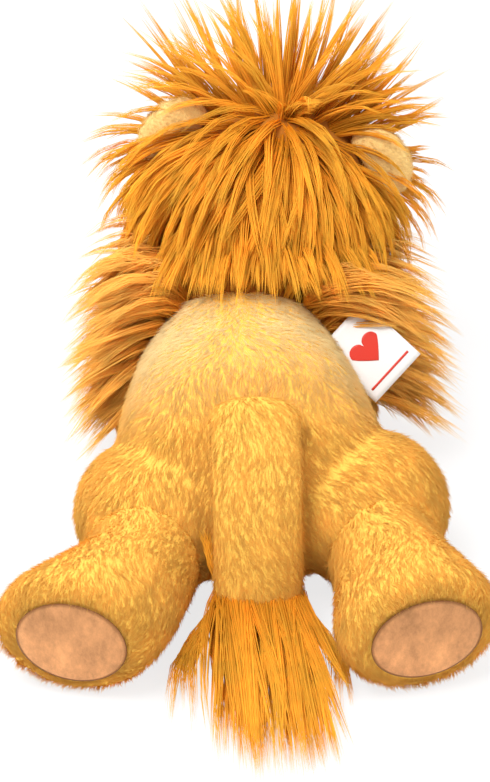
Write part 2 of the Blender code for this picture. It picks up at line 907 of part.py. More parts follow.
def tail_form(grow=0, segments=limb_segments):
    ends = (tail_half_thickness + grow, tail_half_thickness + grow)
    return stuffed(tail_stations(), X, ends, grow, segments, 2)


tail_cover = piece("tail_cover", tail_form(), golden_plush, tail_root)
tail_stuffing = piece(
    "tail_stuffing", tail_form(-tail_wall - seam_gap, inner_segments), white_filling, tail_root
)
cut(tail_cover, tool("tail_hollow", tail_form(-tail_wall, inner_segments)))
cut(tail_cover, tool("tail_slit", block(
    tail_root - Vector((
        tail_half_width * slit_share, tail_half_thickness * slit_share, tail_half_thickness * 2
    )),
    tail_root + Vector((tail_half_width * slit_share, tail_half_thickness * slit_share, 0)),
)))


def tuft_form():
    stations = []
    for i, (far, wide, high) in enumerate(tuft_shares):
        half_height = high * tuft_half_height
        rest = half_height - floor_cut
        fall = tuft_fall_shares[i]
        centre = Vector((0, tail_tip.y + far * tuft_length, rest + (tail_tip.z - rest) * fall))
        stations.append((centre, wide * tuft_half_width, half_height))
    return stuffed(stations, X, (tuft_root_round, tuft_end_round))


tuft = piece("tail_tuft", tuft_form(), amber_hair, tail_tip)
cut(tuft, tool("tuft_seat", tail_tip_form(swing_gap)))
cut(tuft, tool("tail_room", tail_form(swing_gap), about(tail_tip, X, -tuft_up)))
cut(tuft, floor)

# Label: a woven tag caught in the flank seam
label = piece(
    "label", label_form(), lambda name: material(name + "_satin", (0.93, 0.93, 0.92), 0.6),
    label_corner, smooth=False,
)
label_hinge = label_corner + label_width_way * label_width * label_hinge_share
for i, angle in enumerate(steps_between(-label_flap, label_flap, 3)):
    turn = about(label_hinge, label_width_way, -angle)
    cut(label, tool("flank_%d" % i, torso_form(swing_gap), turn))
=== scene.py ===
# A plush lion lying on its belly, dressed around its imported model. It faces -Y and its left is +X.

import json
import math

import bmesh
import bpy
import numpy as np
from mathutils import Matrix, Vector
from mathutils.bvhtree import BVHTree
from mathutils.kdtree import KDTree

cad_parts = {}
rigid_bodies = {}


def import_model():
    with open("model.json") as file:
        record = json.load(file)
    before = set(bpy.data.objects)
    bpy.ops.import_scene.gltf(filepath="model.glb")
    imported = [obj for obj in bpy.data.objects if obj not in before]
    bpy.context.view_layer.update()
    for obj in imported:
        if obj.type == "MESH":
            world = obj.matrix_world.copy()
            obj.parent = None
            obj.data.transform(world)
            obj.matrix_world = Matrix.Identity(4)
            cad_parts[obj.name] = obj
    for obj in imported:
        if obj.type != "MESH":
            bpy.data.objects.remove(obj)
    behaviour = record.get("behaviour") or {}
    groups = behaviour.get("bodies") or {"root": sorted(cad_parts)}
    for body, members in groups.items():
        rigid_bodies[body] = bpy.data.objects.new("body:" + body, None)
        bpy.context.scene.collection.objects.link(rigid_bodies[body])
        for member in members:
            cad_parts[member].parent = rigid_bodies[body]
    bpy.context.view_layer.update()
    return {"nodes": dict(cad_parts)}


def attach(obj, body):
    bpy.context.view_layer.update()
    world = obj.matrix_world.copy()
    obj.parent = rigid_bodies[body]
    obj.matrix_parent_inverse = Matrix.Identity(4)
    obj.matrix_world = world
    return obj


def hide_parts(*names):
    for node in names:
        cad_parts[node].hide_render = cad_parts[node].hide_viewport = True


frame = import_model()
bpy.ops.object.select_all(action="DESELECT")

# Camera: behind the toy and above it, a little to its left.
camera_target = Vector((0.003, 0, 0.09))
camera_distance = 1.6
camera_elevation = math.radians(36)
camera_azimuth = math.radians(2.5)
camera_lens = 130.4
camera_way = Vector((
    math.sin(camera_azimuth) * math.cos(camera_elevation),
    math.cos(camera_azimuth) * math.cos(camera_elevation),
    math.sin(camera_elevation),
))
camera_data = bpy.data.cameras.new("camera")
camera_data.lens = camera_lens
camera = bpy.data.objects.new("camera", camera_data)
camera.location = camera_target + camera_way * camera_distance
camera.rotation_euler = camera_way.to_track_quat("Z", "Y").to_euler()
bpy.context.scene.collection.objects.link(camera)
bpy.context.scene.camera = camera


# Floor: a plain white sheet of card. It keeps a faint shadow of the toy, and the camera sees
# the rest of it as white.
def any_ray(nodes, links, *kinds):
    """1 for a ray that is of one of these kinds, and 0 for the others."""
    path = nodes.new("ShaderNodeLightPath")
    seen = path.outputs[kinds[0]]
    for kind in kinds[1:]:
        either = nodes.new("ShaderNodeMath")
        either.operation = "MAXIMUM"
        links.new(seen, either.inputs[0])
        links.new(path.outputs[kind], either.inputs[1])
        seen = either.outputs[0]
    return seen


def blended(nodes, links, share, one, other, output):
    """Gives an output two shaders, blended by a share."""
    both = nodes.new("ShaderNodeMixShader")
    links.new(share, both.inputs["Fac"])
    links.new(one.outputs[0], both.inputs[1])
    links.new(other.outputs[0], both.inputs[2])
    links.new(both.outputs[0], nodes[output].inputs["Surface"])


floor_size = 60
floor_grey = (0.93, 0.925, 0.92, 1)
floor_white_share = 0.78
bpy.ops.mesh.primitive_plane_add(size=floor_size)
floor = bpy.context.object
floor.name = "floor"
floor_card = bpy.data.materials.new("floor_card")
floor_card.use_nodes = True
nodes, links = floor_card.node_tree.nodes, floor_card.node_tree.links
card = nodes["Principled BSDF"]
card.inputs["Base Color"].default_value = floor_grey
card.inputs["Roughness"].default_value = 0.9
card.inputs["Specular IOR Level"].default_value = 0.1
seen = any_ray(nodes, links, "Is Camera Ray", "Is Glossy Ray", "Is Transmission Ray")
share = nodes.new("ShaderNodeMath")
share.operation = "MULTIPLY"
share.inputs[1].default_value = floor_white_share
links.new(seen, share.inputs[0])
white = nodes.new("ShaderNodeEmission")
white.inputs["Color"].default_value = (1, 1, 1, 1)
white.inputs["Strength"].default_value = 1
blended(nodes, links, share.outputs[0], card, white, "Material Output")
floor.data.materials.append(floor_card)

# Light: a white room with a large soft lamp from the upper left behind the camera, and a weak
# one from the right and from the front.
room_strength = 0.66
room = bpy.data.worlds.new("room")
room.use_nodes = True
bpy.context.scene.world = room
nodes, links = room.node_tree.nodes, room.node_tree.links
nodes["Background"].inputs["Color"].default_value = (1, 0.99, 0.98, 1)
nodes["Background"].inputs["Strength"].default_value = room_strength
seen = any_ray(nodes, links, "Is Camera Ray", "Is Transmission Ray")
plain = nodes.new("ShaderNodeBackground")
plain.inputs["Color"].default_value = (1, 1, 1, 1)
plain.inputs["Strength"].default_value = 1
blended(nodes, links, seen, nodes["Background"], plain, "World Output")
# Each lamp's name, place, size and watts.
lamps = (
    ("key_lamp", Vector((0.65, 0.45, 1.9)), 1.1, 45),
    ("fill_lamp", Vector((-1.3, 0.9, 1.0)), 1.2, 6),
    ("front_lamp", Vector((0.4, -1.6, 1.1)), 1.2, 12),
)
for name, place, size, power in lamps:
    lamp_data = bpy.data.lights.new(name, "AREA")
    lamp_data.size = size
    lamp_data.energy = power
    lamp = bpy.data.objects.new(name, lamp_data)
    lamp.location = place
    lamp.rotation_euler = (place - camera_target).to_track_quat("Z", "Y").to_euler()
    bpy.context.scene.collection.objects.link(lamp)
bpy.context.scene.view_settings.view_transform = "Standard"


# Torso: the body with its haunches and shoulders, cut from golden plush and sewn over a firm
# fibre filling. The cloth backing is one skin, and the pile on it is bunches of short fibres
# that lie towards the tail and down the flanks.
def new_piece(name, mesh):
    """A new object in the scene with this mesh."""
    piece = bpy.data.objects.new(name, mesh)
    bpy.context.scene.collection.objects.link(piece)
    return piece


def joined_form(name, node_names, voxel, smoothing):
    """One closed skin drawn over the forms of several nodes."""
    gathered = bmesh.new()
    for node in node_names:
        gathered.from_mesh(frame["nodes"][node].data)
    bmesh.ops.remove_doubles(gathered, verts=gathered.verts, dist=1e-6)
    mesh = bpy.data.meshes.new(name)
    gathered.to_mesh(mesh)
    gathered.free()
    skin = new_piece(name, mesh)
    skin.select_set(True)
    bpy.context.view_layer.objects.active = skin
    remesh = skin.modifiers.new("remesh", "REMESH")
    remesh.mode = "VOXEL"
    remesh.voxel_size = voxel
    bpy.ops.object.modifier_apply(modifier=remesh.name)
    smooth = skin.modifiers.new("smooth", "SMOOTH")
    smooth.factor = 0.5
    smooth.iterations = smoothing
    bpy.ops.object.modifier_apply(modifier=smooth.name)
    keep_largest(skin.data)
    skin.data.shade_smooth()
    skin.select_set(False)
    return skin


def keep_largest(mesh):
    """Drops every shell but the largest, such as the walls of a hollow inside."""
    shape = bmesh.new()
    shape.from_mesh(mesh)
    left = set(shape.verts)
    shells = []
    while left:
        start = left.pop()
        shell, front = [start], [start]
        while front:
            edges = {edge for v in front for edge in v.link_edges}
            front = [v for edge in edges for v in edge.verts if v in left]
            front = list(dict.fromkeys(front))
            left.difference_update(front)
            shell += front
        shells.append(shell)
    shells.sort(key=len)
    bmesh.ops.delete(shape, geom=[v for shell in shells[:-1] for v in shell], context="VERTS")
    shape.to_mesh(mesh)
    shape.free()


def rest_on_floor(mesh, height):
    """Flattens what would reach into the floor."""
    places = np.empty(len(mesh.vertices) * 3)
    mesh.vertices.foreach_get("co", places)
    places[2::3] = np.maximum(places[2::3], height)
    mesh.vertices.foreach_set("co", places)
    mesh.update()


def unit(vectors):
    """The vectors with their lengths made 1."""
    return vectors / np.maximum(np.linalg.norm(vectors, axis=-1, keepdims=True), 1e-9)


def roots_on(skin, spacing, seed):
    """Even but loose places on a skin, each with the skin's normal there."""
    mesh = skin.data
    mesh.calc_loop_triangles()
    corners = np.empty(len(mesh.vertices) * 3)
    mesh.vertices.foreach_get("co", corners)
    corners = corners.reshape(-1, 3)
    normals = np.empty(len(mesh.vertices) * 3)
    mesh.vertex_normals.foreach_get("vector", normals)
    normals = normals.reshape(-1, 3)
    faces = np.empty(len(mesh.loop_triangles) * 3, np.int32)
    mesh.loop_triangles.foreach_get("vertices", faces)
    faces = faces.reshape(-1, 3)
    a, b, c = (corners[faces[:, i]] for i in range(3))
    area = np.linalg.norm(np.cross(b - a, c - a), axis=1) / 2
    rng = np.random.default_rng(seed)
    count = int(area.sum() / spacing ** 2 * tries_per_root)
    pick = rng.choice(len(faces), count, p=area / area.sum())
    u, v = rng.random((2, count, 1))
    over = u + v > 1
    u, v = np.where(over, 1 - u, u), np.where(over, 1 - v, v)
    places = a[pick] + (b[pick] - a[pick]) * u + (c[pick] - a[pick]) * v
    ups = sum(normals[faces[pick, i]] * w for i, w in enumerate((1 - u - v, u, v)))
    cells = np.floor(places / spacing).astype(np.int64)
    first = np.unique(cells, axis=0, return_index=True)[1]
    first.sort()
    return places[first], unit(ups[first])


def mark(mesh, name, values):
    """Keeps a number for each corner of a mesh, which its material reads by name."""
    attribute = mesh.attributes.new(name, "FLOAT", "POINT")
    attribute.data.foreach_set("value", np.asarray(values, np.float32))


def tapered_hairs(name, paths, ups, widths, tones, softness, flatness=0.75):
    """A mesh of closed three-sided hairs. Each path's points run from the root to the tip.
    Soft hairs are shaded along the skin that they lie on more than each on its own."""
    count, steps = paths.shape[:2]
    rings = steps - 1
    along = unit(np.gradient(paths, axis=1))
    across = unit(np.cross(along, ups[:, None, :]))
    lift = np.cross(across, along)
    angles = np.pi / 2 - np.arange(3) * 2 * np.pi / 3
    round_it = (
        across[:, :rings, None, :] * np.cos(angles)[:, None]
        + lift[:, :rings, None, :] * np.sin(angles)[:, None] * flatness
    )
    corners = paths[:, :rings, None, :] + round_it * (widths[:, :rings, None, None] / 2)
    points = np.concatenate([corners.reshape(count, rings * 3, 3), paths[:, -1:]], axis=1)
    points[..., 2] = np.maximum(points[..., 2], hair_floor)
    quads = np.array([
        (3 * k + j, 3 * k + (j + 1) % 3, 3 * k + 3 + (j + 1) % 3, 3 * k + 3 + j)
        for k in range(rings - 1) for j in range(3)
    ], int).reshape(-1, 4)
    last = 3 * (rings - 1)
    ends = np.array([(last + j, last + (j + 1) % 3, last + 3) for j in range(3)] + [(2, 1, 0)])
    one = np.concatenate([quads.ravel(), ends.ravel()])
    per_hair = rings * 3 + 1
    corner_ids = (one[None, :] + np.arange(count)[:, None] * per_hair).ravel()
    sizes = np.tile(np.array([4] * len(quads) + [3] * len(ends)), count)
    mesh = bpy.data.meshes.new(name)
    mesh.vertices.add(count * per_hair)
    mesh.vertices.foreach_set("co", points.ravel())
    mesh.loops.add(len(corner_ids))
    mesh.loops.foreach_set("vertex_index", corner_ids.astype(np.int32))
    starts = np.concatenate([[0], np.cumsum(sizes)[:-1]])
    mesh.polygons.add(len(sizes))
    mesh.polygons.foreach_set("loop_start", starts.astype(np.int32))
    mesh.update(calc_edges=True)
    mesh.shade_smooth()
    upper = np.concatenate([unit(round_it).reshape(count, rings * 3, 3), lift[:, -1:]], axis=1)
    upper = unit(upper * (1 - softness) + ups[:, None, :] * softness)
    ring_of = np.minimum(one // 3, rings)
    under = np.concatenate([
        np.tile(np.repeat([False, True, False], 4), rings - 1), np.repeat([False, True, False], 3),
        [False] * 3,
    ])
    facing = upper[:, one]
    facing[:, under] = -lift[:, ring_of[under]]
    facing[:, -3:] = -along[:, :1]
    mesh.normals_split_custom_set(facing.reshape(-1, 3))
    reach = np.concatenate([np.repeat(np.arange(rings), 3), [rings]]) / rings
    mark(mesh, "reach", np.tile(reach, count))
    mark(mesh, "tone", np.repeat(tones, per_hair))
    return new_piece(name, mesh)


def bunches(places, size, seed):
    """The number of the bunch that each place belongs to."""
    rng = np.random.default_rng(seed)
    cells = np.floor((places + rng.random(3) * size) / size).astype(np.int64)
    first = np.unique(cells, axis=0, return_index=True)[1]
    tree = KDTree(len(first))
    for number, index in enumerate(first):
        tree.insert(places[index], number)
    tree.balance()
    return np.array([tree.find(place)[1] for place in places]), len(first)


def bunch_means(values, numbers, count):
    """The mean of each bunch's vectors, given back for each of its fibres."""
    totals = np.stack([np.bincount(numbers, values[:, i], count) for i in range(3)], axis=1)
    return (totals / np.maximum(np.bincount(numbers, minlength=count), 1)[:, None])[numbers]


def swirl(places, scale):
    """A slow angle that wanders over the cloth."""
    x, y, z = (places / scale).T
    return (
        np.sin(1.3 * x + 0.7 * y + 2.1) * np.cos(0.9 * z - 1.1 * y + 0.4)
        + 0.6 * np.sin(2.3 * y - 1.7 * x + 1.2 * z + 0.8)
    )


def surface_of(thing):
    """A piece's surface, for finding the nearest place on it."""
    mesh = thing.data
    return BVHTree.FromPolygons([v.co for v in mesh.vertices], [f.vertices for f in mesh.polygons])


def distances(places, thing, reach):
    """How far each place is from a piece's surface, up to a reach."""
    tree = surface_of(thing)
    found = (tree.find_nearest(Vector(place), reach)[3] for place in places)
    return np.array([reach if far is None else far for far in found])


def pile(name, skin, lay, spacing, length, seed, keep=None, near=(), bare=(), steep=15, painted_highlight=None):
    """Short plush fibres on a skin, gathered in small bunches that lie the way that lay gives.
    They are shorter beside the near pieces, and there are none on the bare ones. The
    painted_highlight function gives how much of the paler colour of a painted highlight each
    place has."""
    places, ups = roots_on(skin, spacing, seed)
    chosen = places[:, 2] > pile_lowest
    if keep is not None:
        chosen &= keep(places)
    places, ups = places[chosen], ups[chosen]
    for other in bare:
        clear = distances(places, other, 2 * bare_margin) > bare_margin
        places, ups = places[clear], ups[clear]
    rng = np.random.default_rng(seed + 1)
    ways = lay(places)
    ways = unit(ways - (ways * ups).sum(1, keepdims=True) * ups)
    turn = swirl(places, swirl_size) * swirl_turn + rng.normal(0, fibre_turn, len(places))
    turn = turn[:, None]
    ways = ways * np.cos(turn) + np.cross(ups, ways) * np.sin(turn)
    room = np.full(len(places), 1.0)
    for other in near:
        gap = distances(places, frame["nodes"][other], near_reach)
        room = np.minimum(room, np.clip(gap / near_reach, near_least, 1))
    numbers, count = bunches(places, length * bunch_size, seed + 2)
    bunch_length = rng.normal(1, bunch_length_spread, count)[numbers]
    bunch_turn = rng.normal(0, bunch_turn_spread, count)[numbers][:, None]
    ways = ways * np.cos(bunch_turn) + np.cross(ups, ways) * np.sin(bunch_turn)
    reach = (length * room * bunch_length * rng.uniform(*fibre_reach, len(places)))[:, None]
    lean = np.radians(rng.normal(steep, steep_spread, len(places)))[:, None]
    root = places - ups * root_depth
    tip = root + reach * (ups * np.sin(lean) + ways * np.cos(lean))
    pull = rng.uniform(*bunch_pull, len(places))[:, None]
    tip += (bunch_means(tip, numbers, count) - tip) * pull
    paths = np.stack([root, tip], axis=1)
    widths = fibre_width * rng.uniform(*fibre_width_range, (len(places), 1))
    tones = bunch_tone * rng.random(count)[numbers] + (1 - bunch_tone) * rng.random(len(places))
    fibres = tapered_hairs(name, paths, ups, widths, tones, pile_softness)
    if painted_highlight is not None:
        per_fibre = len(fibres.data.vertices) // len(places)
        mark(fibres.data, "painted_highlight", np.repeat(painted_highlight(places), per_fibre))
    return fibres


def new_finish(name, roughness, gloss):
    """A new material, with its nodes, its links and its shader."""
    finish = bpy.data.materials.new(name)
    finish.use_nodes = True
    shader = finish.node_tree.nodes["Principled BSDF"]
    shader.inputs["Roughness"].default_value = roughness
    shader.inputs["Specular IOR Level"].default_value = gloss
    return finish, finish.node_tree.nodes, finish.node_tree.links, shader


def noise(nodes, links, place, scale, detail=2):
    """An uneven pattern that is fixed to the piece."""
    pattern = nodes.new("ShaderNodeTexNoise")
    pattern.inputs["Scale"].default_value = scale
    pattern.inputs["Detail"].default_value = detail
    links.new(place, pattern.inputs["Vector"])
    return pattern


def shaded(nodes, links, pattern, colour, dark, light):
    """A colour that a pattern makes darker and lighter."""
    ramp = nodes.new("ShaderNodeValToRGB")
    ramp.color_ramp.elements[0].color = (*(c * dark for c in colour), 1)
    ramp.color_ramp.elements[1].color = (*(min(1, c * light) for c in colour), 1)
    links.new(pattern.outputs["Fac"], ramp.inputs["Fac"])
    return ramp


def marked(nodes, name):
    """The number that mark keeps for each corner."""
    attribute = nodes.new("ShaderNodeAttribute")
    attribute.attribute_name = name
    return attribute.outputs["Fac"]


def ranged(nodes, links, value, before, after):
    """A number moved from one range into another."""
    moved = nodes.new("ShaderNodeMapRange")
    moved.inputs["From Min"].default_value, moved.inputs["From Max"].default_value = before
    moved.inputs["To Min"].default_value, moved.inputs["To Max"].default_value = after
    links.new(value, moved.inputs["Value"])
    return moved.outputs["Result"]


def scaled(nodes, links, colour, share):
    """A colour times a number."""
    product = nodes.new("ShaderNodeVectorMath")
    product.operation = "SCALE"
    links.new(colour, product.inputs[0])
    links.new(share, product.inputs["Scale"])
    return product.outputs[0]


def mixed(nodes, links, share, colour, other):
    """A colour that fades to another one."""
    mix = nodes.new("ShaderNodeMix")
    mix.data_type = "RGBA"
    mix.inputs["B"].default_value = (*other, 1)
    links.new(share, mix.inputs["Factor"])
    links.new(colour, mix.inputs["A"])
    return mix.outputs["Result"]


def raised(nodes, links, shader, pattern, strength, depth):
    """Makes the surface rise and fall with a pattern."""
    bump = nodes.new("ShaderNodeBump")
    bump.inputs["Strength"].default_value = strength
    bump.inputs["Distance"].default_value = depth
    links.new(pattern.outputs["Fac"], bump.inputs["Height"])
    links.new(bump.outputs["Normal"], shader.inputs["Normal"])


def fibre_finish(name, root, tip, roughness, gloss, tones, painted_highlight=None):
    """Fibres that let light through: darker and redder at the root, partly their own colour and
    partly painted shade deep in the pile, and each bunch a little unlike the next. Where the
    pile has a painted_highlight attribute, it fades to that colour, a painted highlight."""
    finish, nodes, links, shader = new_finish(name, roughness, gloss)
    reach = marked(nodes, "reach")
    # Painted shade in part: the root colour is darker and redder than the tip, like the shade deep
    # in the pile.
    fade = nodes.new("ShaderNodeValToRGB")
    fade.color_ramp.elements[0].color = (*root, 1)
    fade.color_ramp.elements[1].color = (*tip, 1)
    fade.color_ramp.elements[1].position = 0.8
    links.new(reach, fade.inputs["Fac"])
    colour = fade.outputs["Color"]
    # Painted highlight: where marked, the colour fades to the paler highlight colour.
    if painted_highlight:
        colour = mixed(nodes, links, marked(nodes, "painted_highlight"), colour, painted_highlight)
    bright = ranged(nodes, links, marked(nodes, "tone"), (0, 1), tones)
    place = nodes.new("ShaderNodeTexCoord")
    patches = noise(nodes, links, place.outputs["Object"], 75, 3)
    uneven = ranged(nodes, links, patches.outputs["Fac"], (0.3, 0.7), (0.87, 1.05))
    level = nodes.new("ShaderNodeMath")
    level.operation = "MULTIPLY"
    links.new(bright, level.inputs[0])
    links.new(uneven, level.inputs[1])
    fibre_colour_with_painted_light = scaled(nodes, links, colour, level.outputs[0])
    links.new(fibre_colour_with_painted_light, shader.inputs["Base Color"])
    through = nodes.new("ShaderNodeBsdfTranslucent")
    links.new(fibre_colour_with_painted_light, through.inputs["Color"])
    both = nodes.new("ShaderNodeMixShader")
    both.inputs["Fac"].default_value = light_through
    links.new(shader.outputs[0], both.inputs[1])
    links.new(through.outputs[0], both.inputs[2])
    links.new(both.outputs[0], nodes["Material Output"].inputs["Surface"])
    return finish


def cloth_backing(name, colour):
    """The knitted cloth under the pile, with a fine uneven grain."""
    finish, nodes, links, shader = new_finish(name, 0.95, 0.15)
    place = nodes.new("ShaderNodeTexCoord")
    grain = noise(nodes, links, place.outputs["Object"], 900, 3)
    shade = shaded(nodes, links, grain, colour, 0.7, 1.2)
    links.new(shade.outputs["Color"], shader.inputs["Base Color"])
    raised(nodes, links, shader, grain, 0.5, 0.0005)
    return finish


skin_voxel = 0.0024
skin_smoothing = 14
hair_floor = 0.0003
pile_lowest = 0.0012
tries_per_root = 5
bare_margin = 0.0010
near_reach = 0.0035
near_least = 0.8
root_depth = 0.0006
fibre_width = 0.0006
fibre_width_range = (0.8, 1.25)
fibre_reach = (0.75, 1.1)
fibre_turn = 0.2
steep_spread = 7
swirl_size = 0.022
swirl_turn = 0.4
bunch_size = 0.35
bunch_length_spread = 0.08
bunch_turn_spread = 0.22
bunch_pull = (0.1, 0.4)
bunch_tone = 0.35
pile_softness = 0.6
light_through = 0.42
torso_pile_spacing = 0.0011
torso_pile_length = 0.0078
# plush_pile's last colour is a painted highlight, the paler colour that the top of the back fades
# to.
plush_pile = fibre_finish(
    "plush_pile", (0.88, 0.43, 0.060), (0.96, 0.60, 0.13), 0.8, 0.06, (0.91, 1.04),
    painted_highlight=(1.0, 0.84, 0.46),
)
plush_backing = cloth_backing("plush_backing", (0.95, 0.52, 0.09))

torso = joined_form(
    "torso_plush", ("torso_cover", "torso_stuffing", "pellet_bag"), skin_voxel, skin_smoothing,
)
rest_on_floor(torso.data, hair_floor)
torso.data.materials.append(plush_backing)
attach(torso, "torso")
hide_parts("torso_cover")


def torso_lay(places):
    """Outwards from the spine, towards the tail and down."""
    x, y, z = places.T
    return np.stack([x * 3, np.full(len(places), 0.16), -0.10 - z], axis=1)


def dome_highlight_share(places):
    """How much of the painted highlight a place gets: the top of the back, where the light falls, is
    painted paler.
    """
    x, y, z = places.T
    return np.clip((0.045 - y) / 0.06, 0, 1) * np.clip((z - 0.075) / 0.03, 0, 1)


# The top of the back gets a painted highlight: its fibres fade to the paler colour there.
for word, way in (("left", 1), ("right", -1)):
    fibres = pile(
        "torso_pile_" + word, torso, torso_lay, torso_pile_spacing, torso_pile_length, 11 + way,
        keep=lambda places: places[:, 0] * way > 0,
        near=(
            "hind_leg_%s_cover" % word, "front_leg_%s_cover" % word, "tail_cover", "head_cover",
        ),
        painted_highlight=dome_highlight_share,
    )
    fibres.data.materials.append(plush_pile)
    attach(fibres, "torso")


# Hind legs: plush sleeves stuffed firmly and sewn to the haunches. Each is closed by an oval
# sole of tan velour with a little filling behind it, and its seam draws the edge in.
def middle_frame(node):
    """A flat node's middle and its own axes: across it, up along it and out of it."""
    mesh = frame["nodes"][node].data
    places = np.empty(len(mesh.vertices) * 3)
    mesh.vertices.foreach_get("co", places)
    places = places.reshape(-1, 3)
    low, high = places.min(0), places.max(0)
    middle = places.mean(0)
    out = np.linalg.svd(places - middle, full_matrices=False)[2][2]
    if out @ (middle - np.array((0, 0, middle[2]))) < 0:
        out = -out
    up = unit(np.array((0, 0, 1.0)) - out[2] * out)
    across = np.cross(up, out)
    flat = places - middle
    halves = [np.abs(flat @ axis).max() for axis in (across, up, out)]
    return middle, (across, up, out), halves


def closed_piece(name, shape):
    """A smooth piece from a closed form, with its faces outwards."""
    if shape.calc_volume(signed=True) < 0:
        bmesh.ops.reverse_faces(shape, faces=shape.faces)
    mesh = bpy.data.meshes.new(name)
    shape.to_mesh(mesh)
    shape.free()
    mesh.shade_smooth()
    return new_piece(name, mesh)


def velour_disc(name, node, bulge, rings=14, segments=72):
    """A closed oval of velour, domed in the middle and drawn in at its seam."""
    middle, (across, up, out), (wide, high, deep) = middle_frame(node)
    shape = bmesh.new()
    profile = [(0.0, bulge)]
    for ring in range(1, rings + 1):
        share = ring / rings
        profile.append((share, bulge * (1 - share ** 4) - seam_dip * (share == 1)))
    profile += [(1.01, -seam_dip / 2), (0.9, -deep), (0.0, -deep)]
    loops = []
    for radius, height in profile:
        if radius == 0:
            loops.append([shape.verts.new(middle + out * height)])
            continue
        loop = []
        for step in range(segments):
            angle = step * 2 * math.pi / segments
            place = across * wide * math.cos(angle) + up * high * math.sin(angle)
            loop.append(shape.verts.new(middle + place * radius + out * height))
        loops.append(loop)
    for inner, outer in zip(loops, loops[1:]):
        for step in range(segments):
            after = (step + 1) % segments
            if len(inner) == 1:
                shape.faces.new((inner[0], outer[step], outer[after]))
            elif len(outer) == 1:
                shape.faces.new((inner[step], outer[0], inner[after]))
            else:
                shape.faces.new((inner[step], outer[step], outer[after], inner[after]))
    disc = closed_piece(name, shape)
    flat = np.array([vertex.co for vertex in disc.data.vertices]) - middle
    mark(disc.data, "edge", np.hypot(flat @ across / wide, flat @ up / high))
    return disc


def velour_finish(name, colour, rim):
    """Short velour: brushed streaks, a soft sheen, painted shade that makes it darker higher up,
    and a dark line where the seam draws in, partly a darker brown and partly painted shade in
    the crease."""
    finish, nodes, links, shader = new_finish(name, 0.85, 0.15)
    shader.inputs["Sheen Weight"].default_value = 0.15
    shader.inputs["Sheen Tint"].default_value = (1.0, 0.8, 0.62, 1)
    place = nodes.new("ShaderNodeTexCoord")
    stretch = nodes.new("ShaderNodeMapping")
    stretch.inputs["Rotation"].default_value = (0.5, 0.3, 0.6)
    stretch.inputs["Scale"].default_value = (1.0, 0.35, 0.6)
    links.new(place.outputs["Object"], stretch.inputs["Vector"])
    brushed = noise(nodes, links, stretch.outputs["Vector"], 75, 8)
    brushed.inputs["Roughness"].default_value = 0.78
    shade = shaded(nodes, links, brushed, colour, 0.62, 1.36)
    shade.color_ramp.elements[0].position = 0.3
    shade.color_ramp.elements[1].position = 0.7
    axes = nodes.new("ShaderNodeSeparateXYZ")
    links.new(place.outputs["Object"], axes.inputs[0])
    # Painted shade: the velour is lighter low down and darker high up.
    height = ranged(nodes, links, axes.outputs["Z"], (velour_low, velour_high), (1.12, 0.82))
    painted_height_shade = scaled(nodes, links, shade.outputs["Color"], height)
    # The seam line near the edge: partly a darker brown, partly painted shade in the crease.
    near_edge = ranged(nodes, links, marked(nodes, "edge"), (0.945, 1.0), (0, 1))
    seam_line_and_shade = mixed(nodes, links, near_edge, painted_height_shade, rim)
    links.new(seam_line_and_shade, shader.inputs["Base Color"])
    fine = noise(nodes, links, place.outputs["Object"], 1500)
    raised(nodes, links, shader, fine, 0.5, 0.0004)
    return finish


def stuffed_leg(body, pad, lay, spacing, length, seed, near):
    """One leg: its plush sleeve, the velour that closes it and its pile."""
    leg = joined_form(
        body + "_plush", (body + "_cover", body + "_stuffing"), skin_voxel, leg_smoothing,
    )
    rest_on_floor(leg.data, hair_floor)
    leg.data.materials.append(plush_backing)
    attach(leg, body)
    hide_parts(body + "_cover")
    sole = velour_disc(pad + "_velour", pad, sole_bulge)
    sole.data.materials.append(sole_velour)
    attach(sole, body)
    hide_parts(pad)
    fibres = pile(
        body + "_pile", leg, lambda places: np.tile(lay, (len(places), 1)),
        spacing, length, seed, near=near, bare=(sole,),
    )
    fibres.data.materials.append(plush_pile)
    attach(fibres, body)


leg_smoothing = 10
seam_dip = 0.0012
sole_bulge = 0.0025
velour_low = 0.022
velour_high = 0.060
# The second colour is the seam line's, partly darker brown and partly painted shade.
sole_velour = velour_finish("sole_velour", (0.58, 0.27, 0.11), (0.26, 0.10, 0.03))
hind_pile_spacing = 0.0012
hind_pile_length = 0.0078
hind_lay = {"left": (0.30, 0.95, -0.25), "right": (-0.22, 0.95, -0.25)}
for word in ("left", "right"):
    stuffed_leg(
        "hind_leg_" + word, "hind_sole_" + word, hind_lay[word],
        hind_pile_spacing, hind_pile_length, 21, ("torso_cover", "tail_cover"),
    )


# Front legs: the same make, stretched out under the head, each with a small velour pad.
front_pile_spacing = 0.0015
front_pile_length = 0.008
front_lay = (0, -0.95, -0.25)
for word in ("left", "right"):
    stuffed_leg(
        "front_leg_" + word, "front_pad_" + word, front_lay,
        front_pile_spacing, front_pile_length, 31, ("torso_cover", "head_cover"),
    )


# Tail: a flat plush tube with a thin filling, sewn on the rump by the fold at its root.
def tail_lay(places):
    """Down the tail, and outwards over its sides."""
    down = np.tile((0.6, -0.8), (len(places), 1))
    return np.column_stack([places[:, 0] * tail_spread, down])


tail_voxel = 0.002
tail_smoothing = 8
tail_pile_spacing = 0.0012
tail_pile_length = 0.0066
tail_spread = 14
tail = joined_form("tail_plush", ("tail_cover", "tail_stuffing"), tail_voxel, tail_smoothing)
rest_on_floor(tail.data, hair_floor)
tail.data.materials.append(plush_backing)
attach(tail, "tail")
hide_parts("tail_cover")
fibres = pile(
    "tail_pile", tail, tail_lay, tail_pile_spacing, tail_pile_length, 41,
    near=("torso_cover",), steep=17,
)
fibres.data.materials.append(plush_pile)
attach(fibres, "tail")


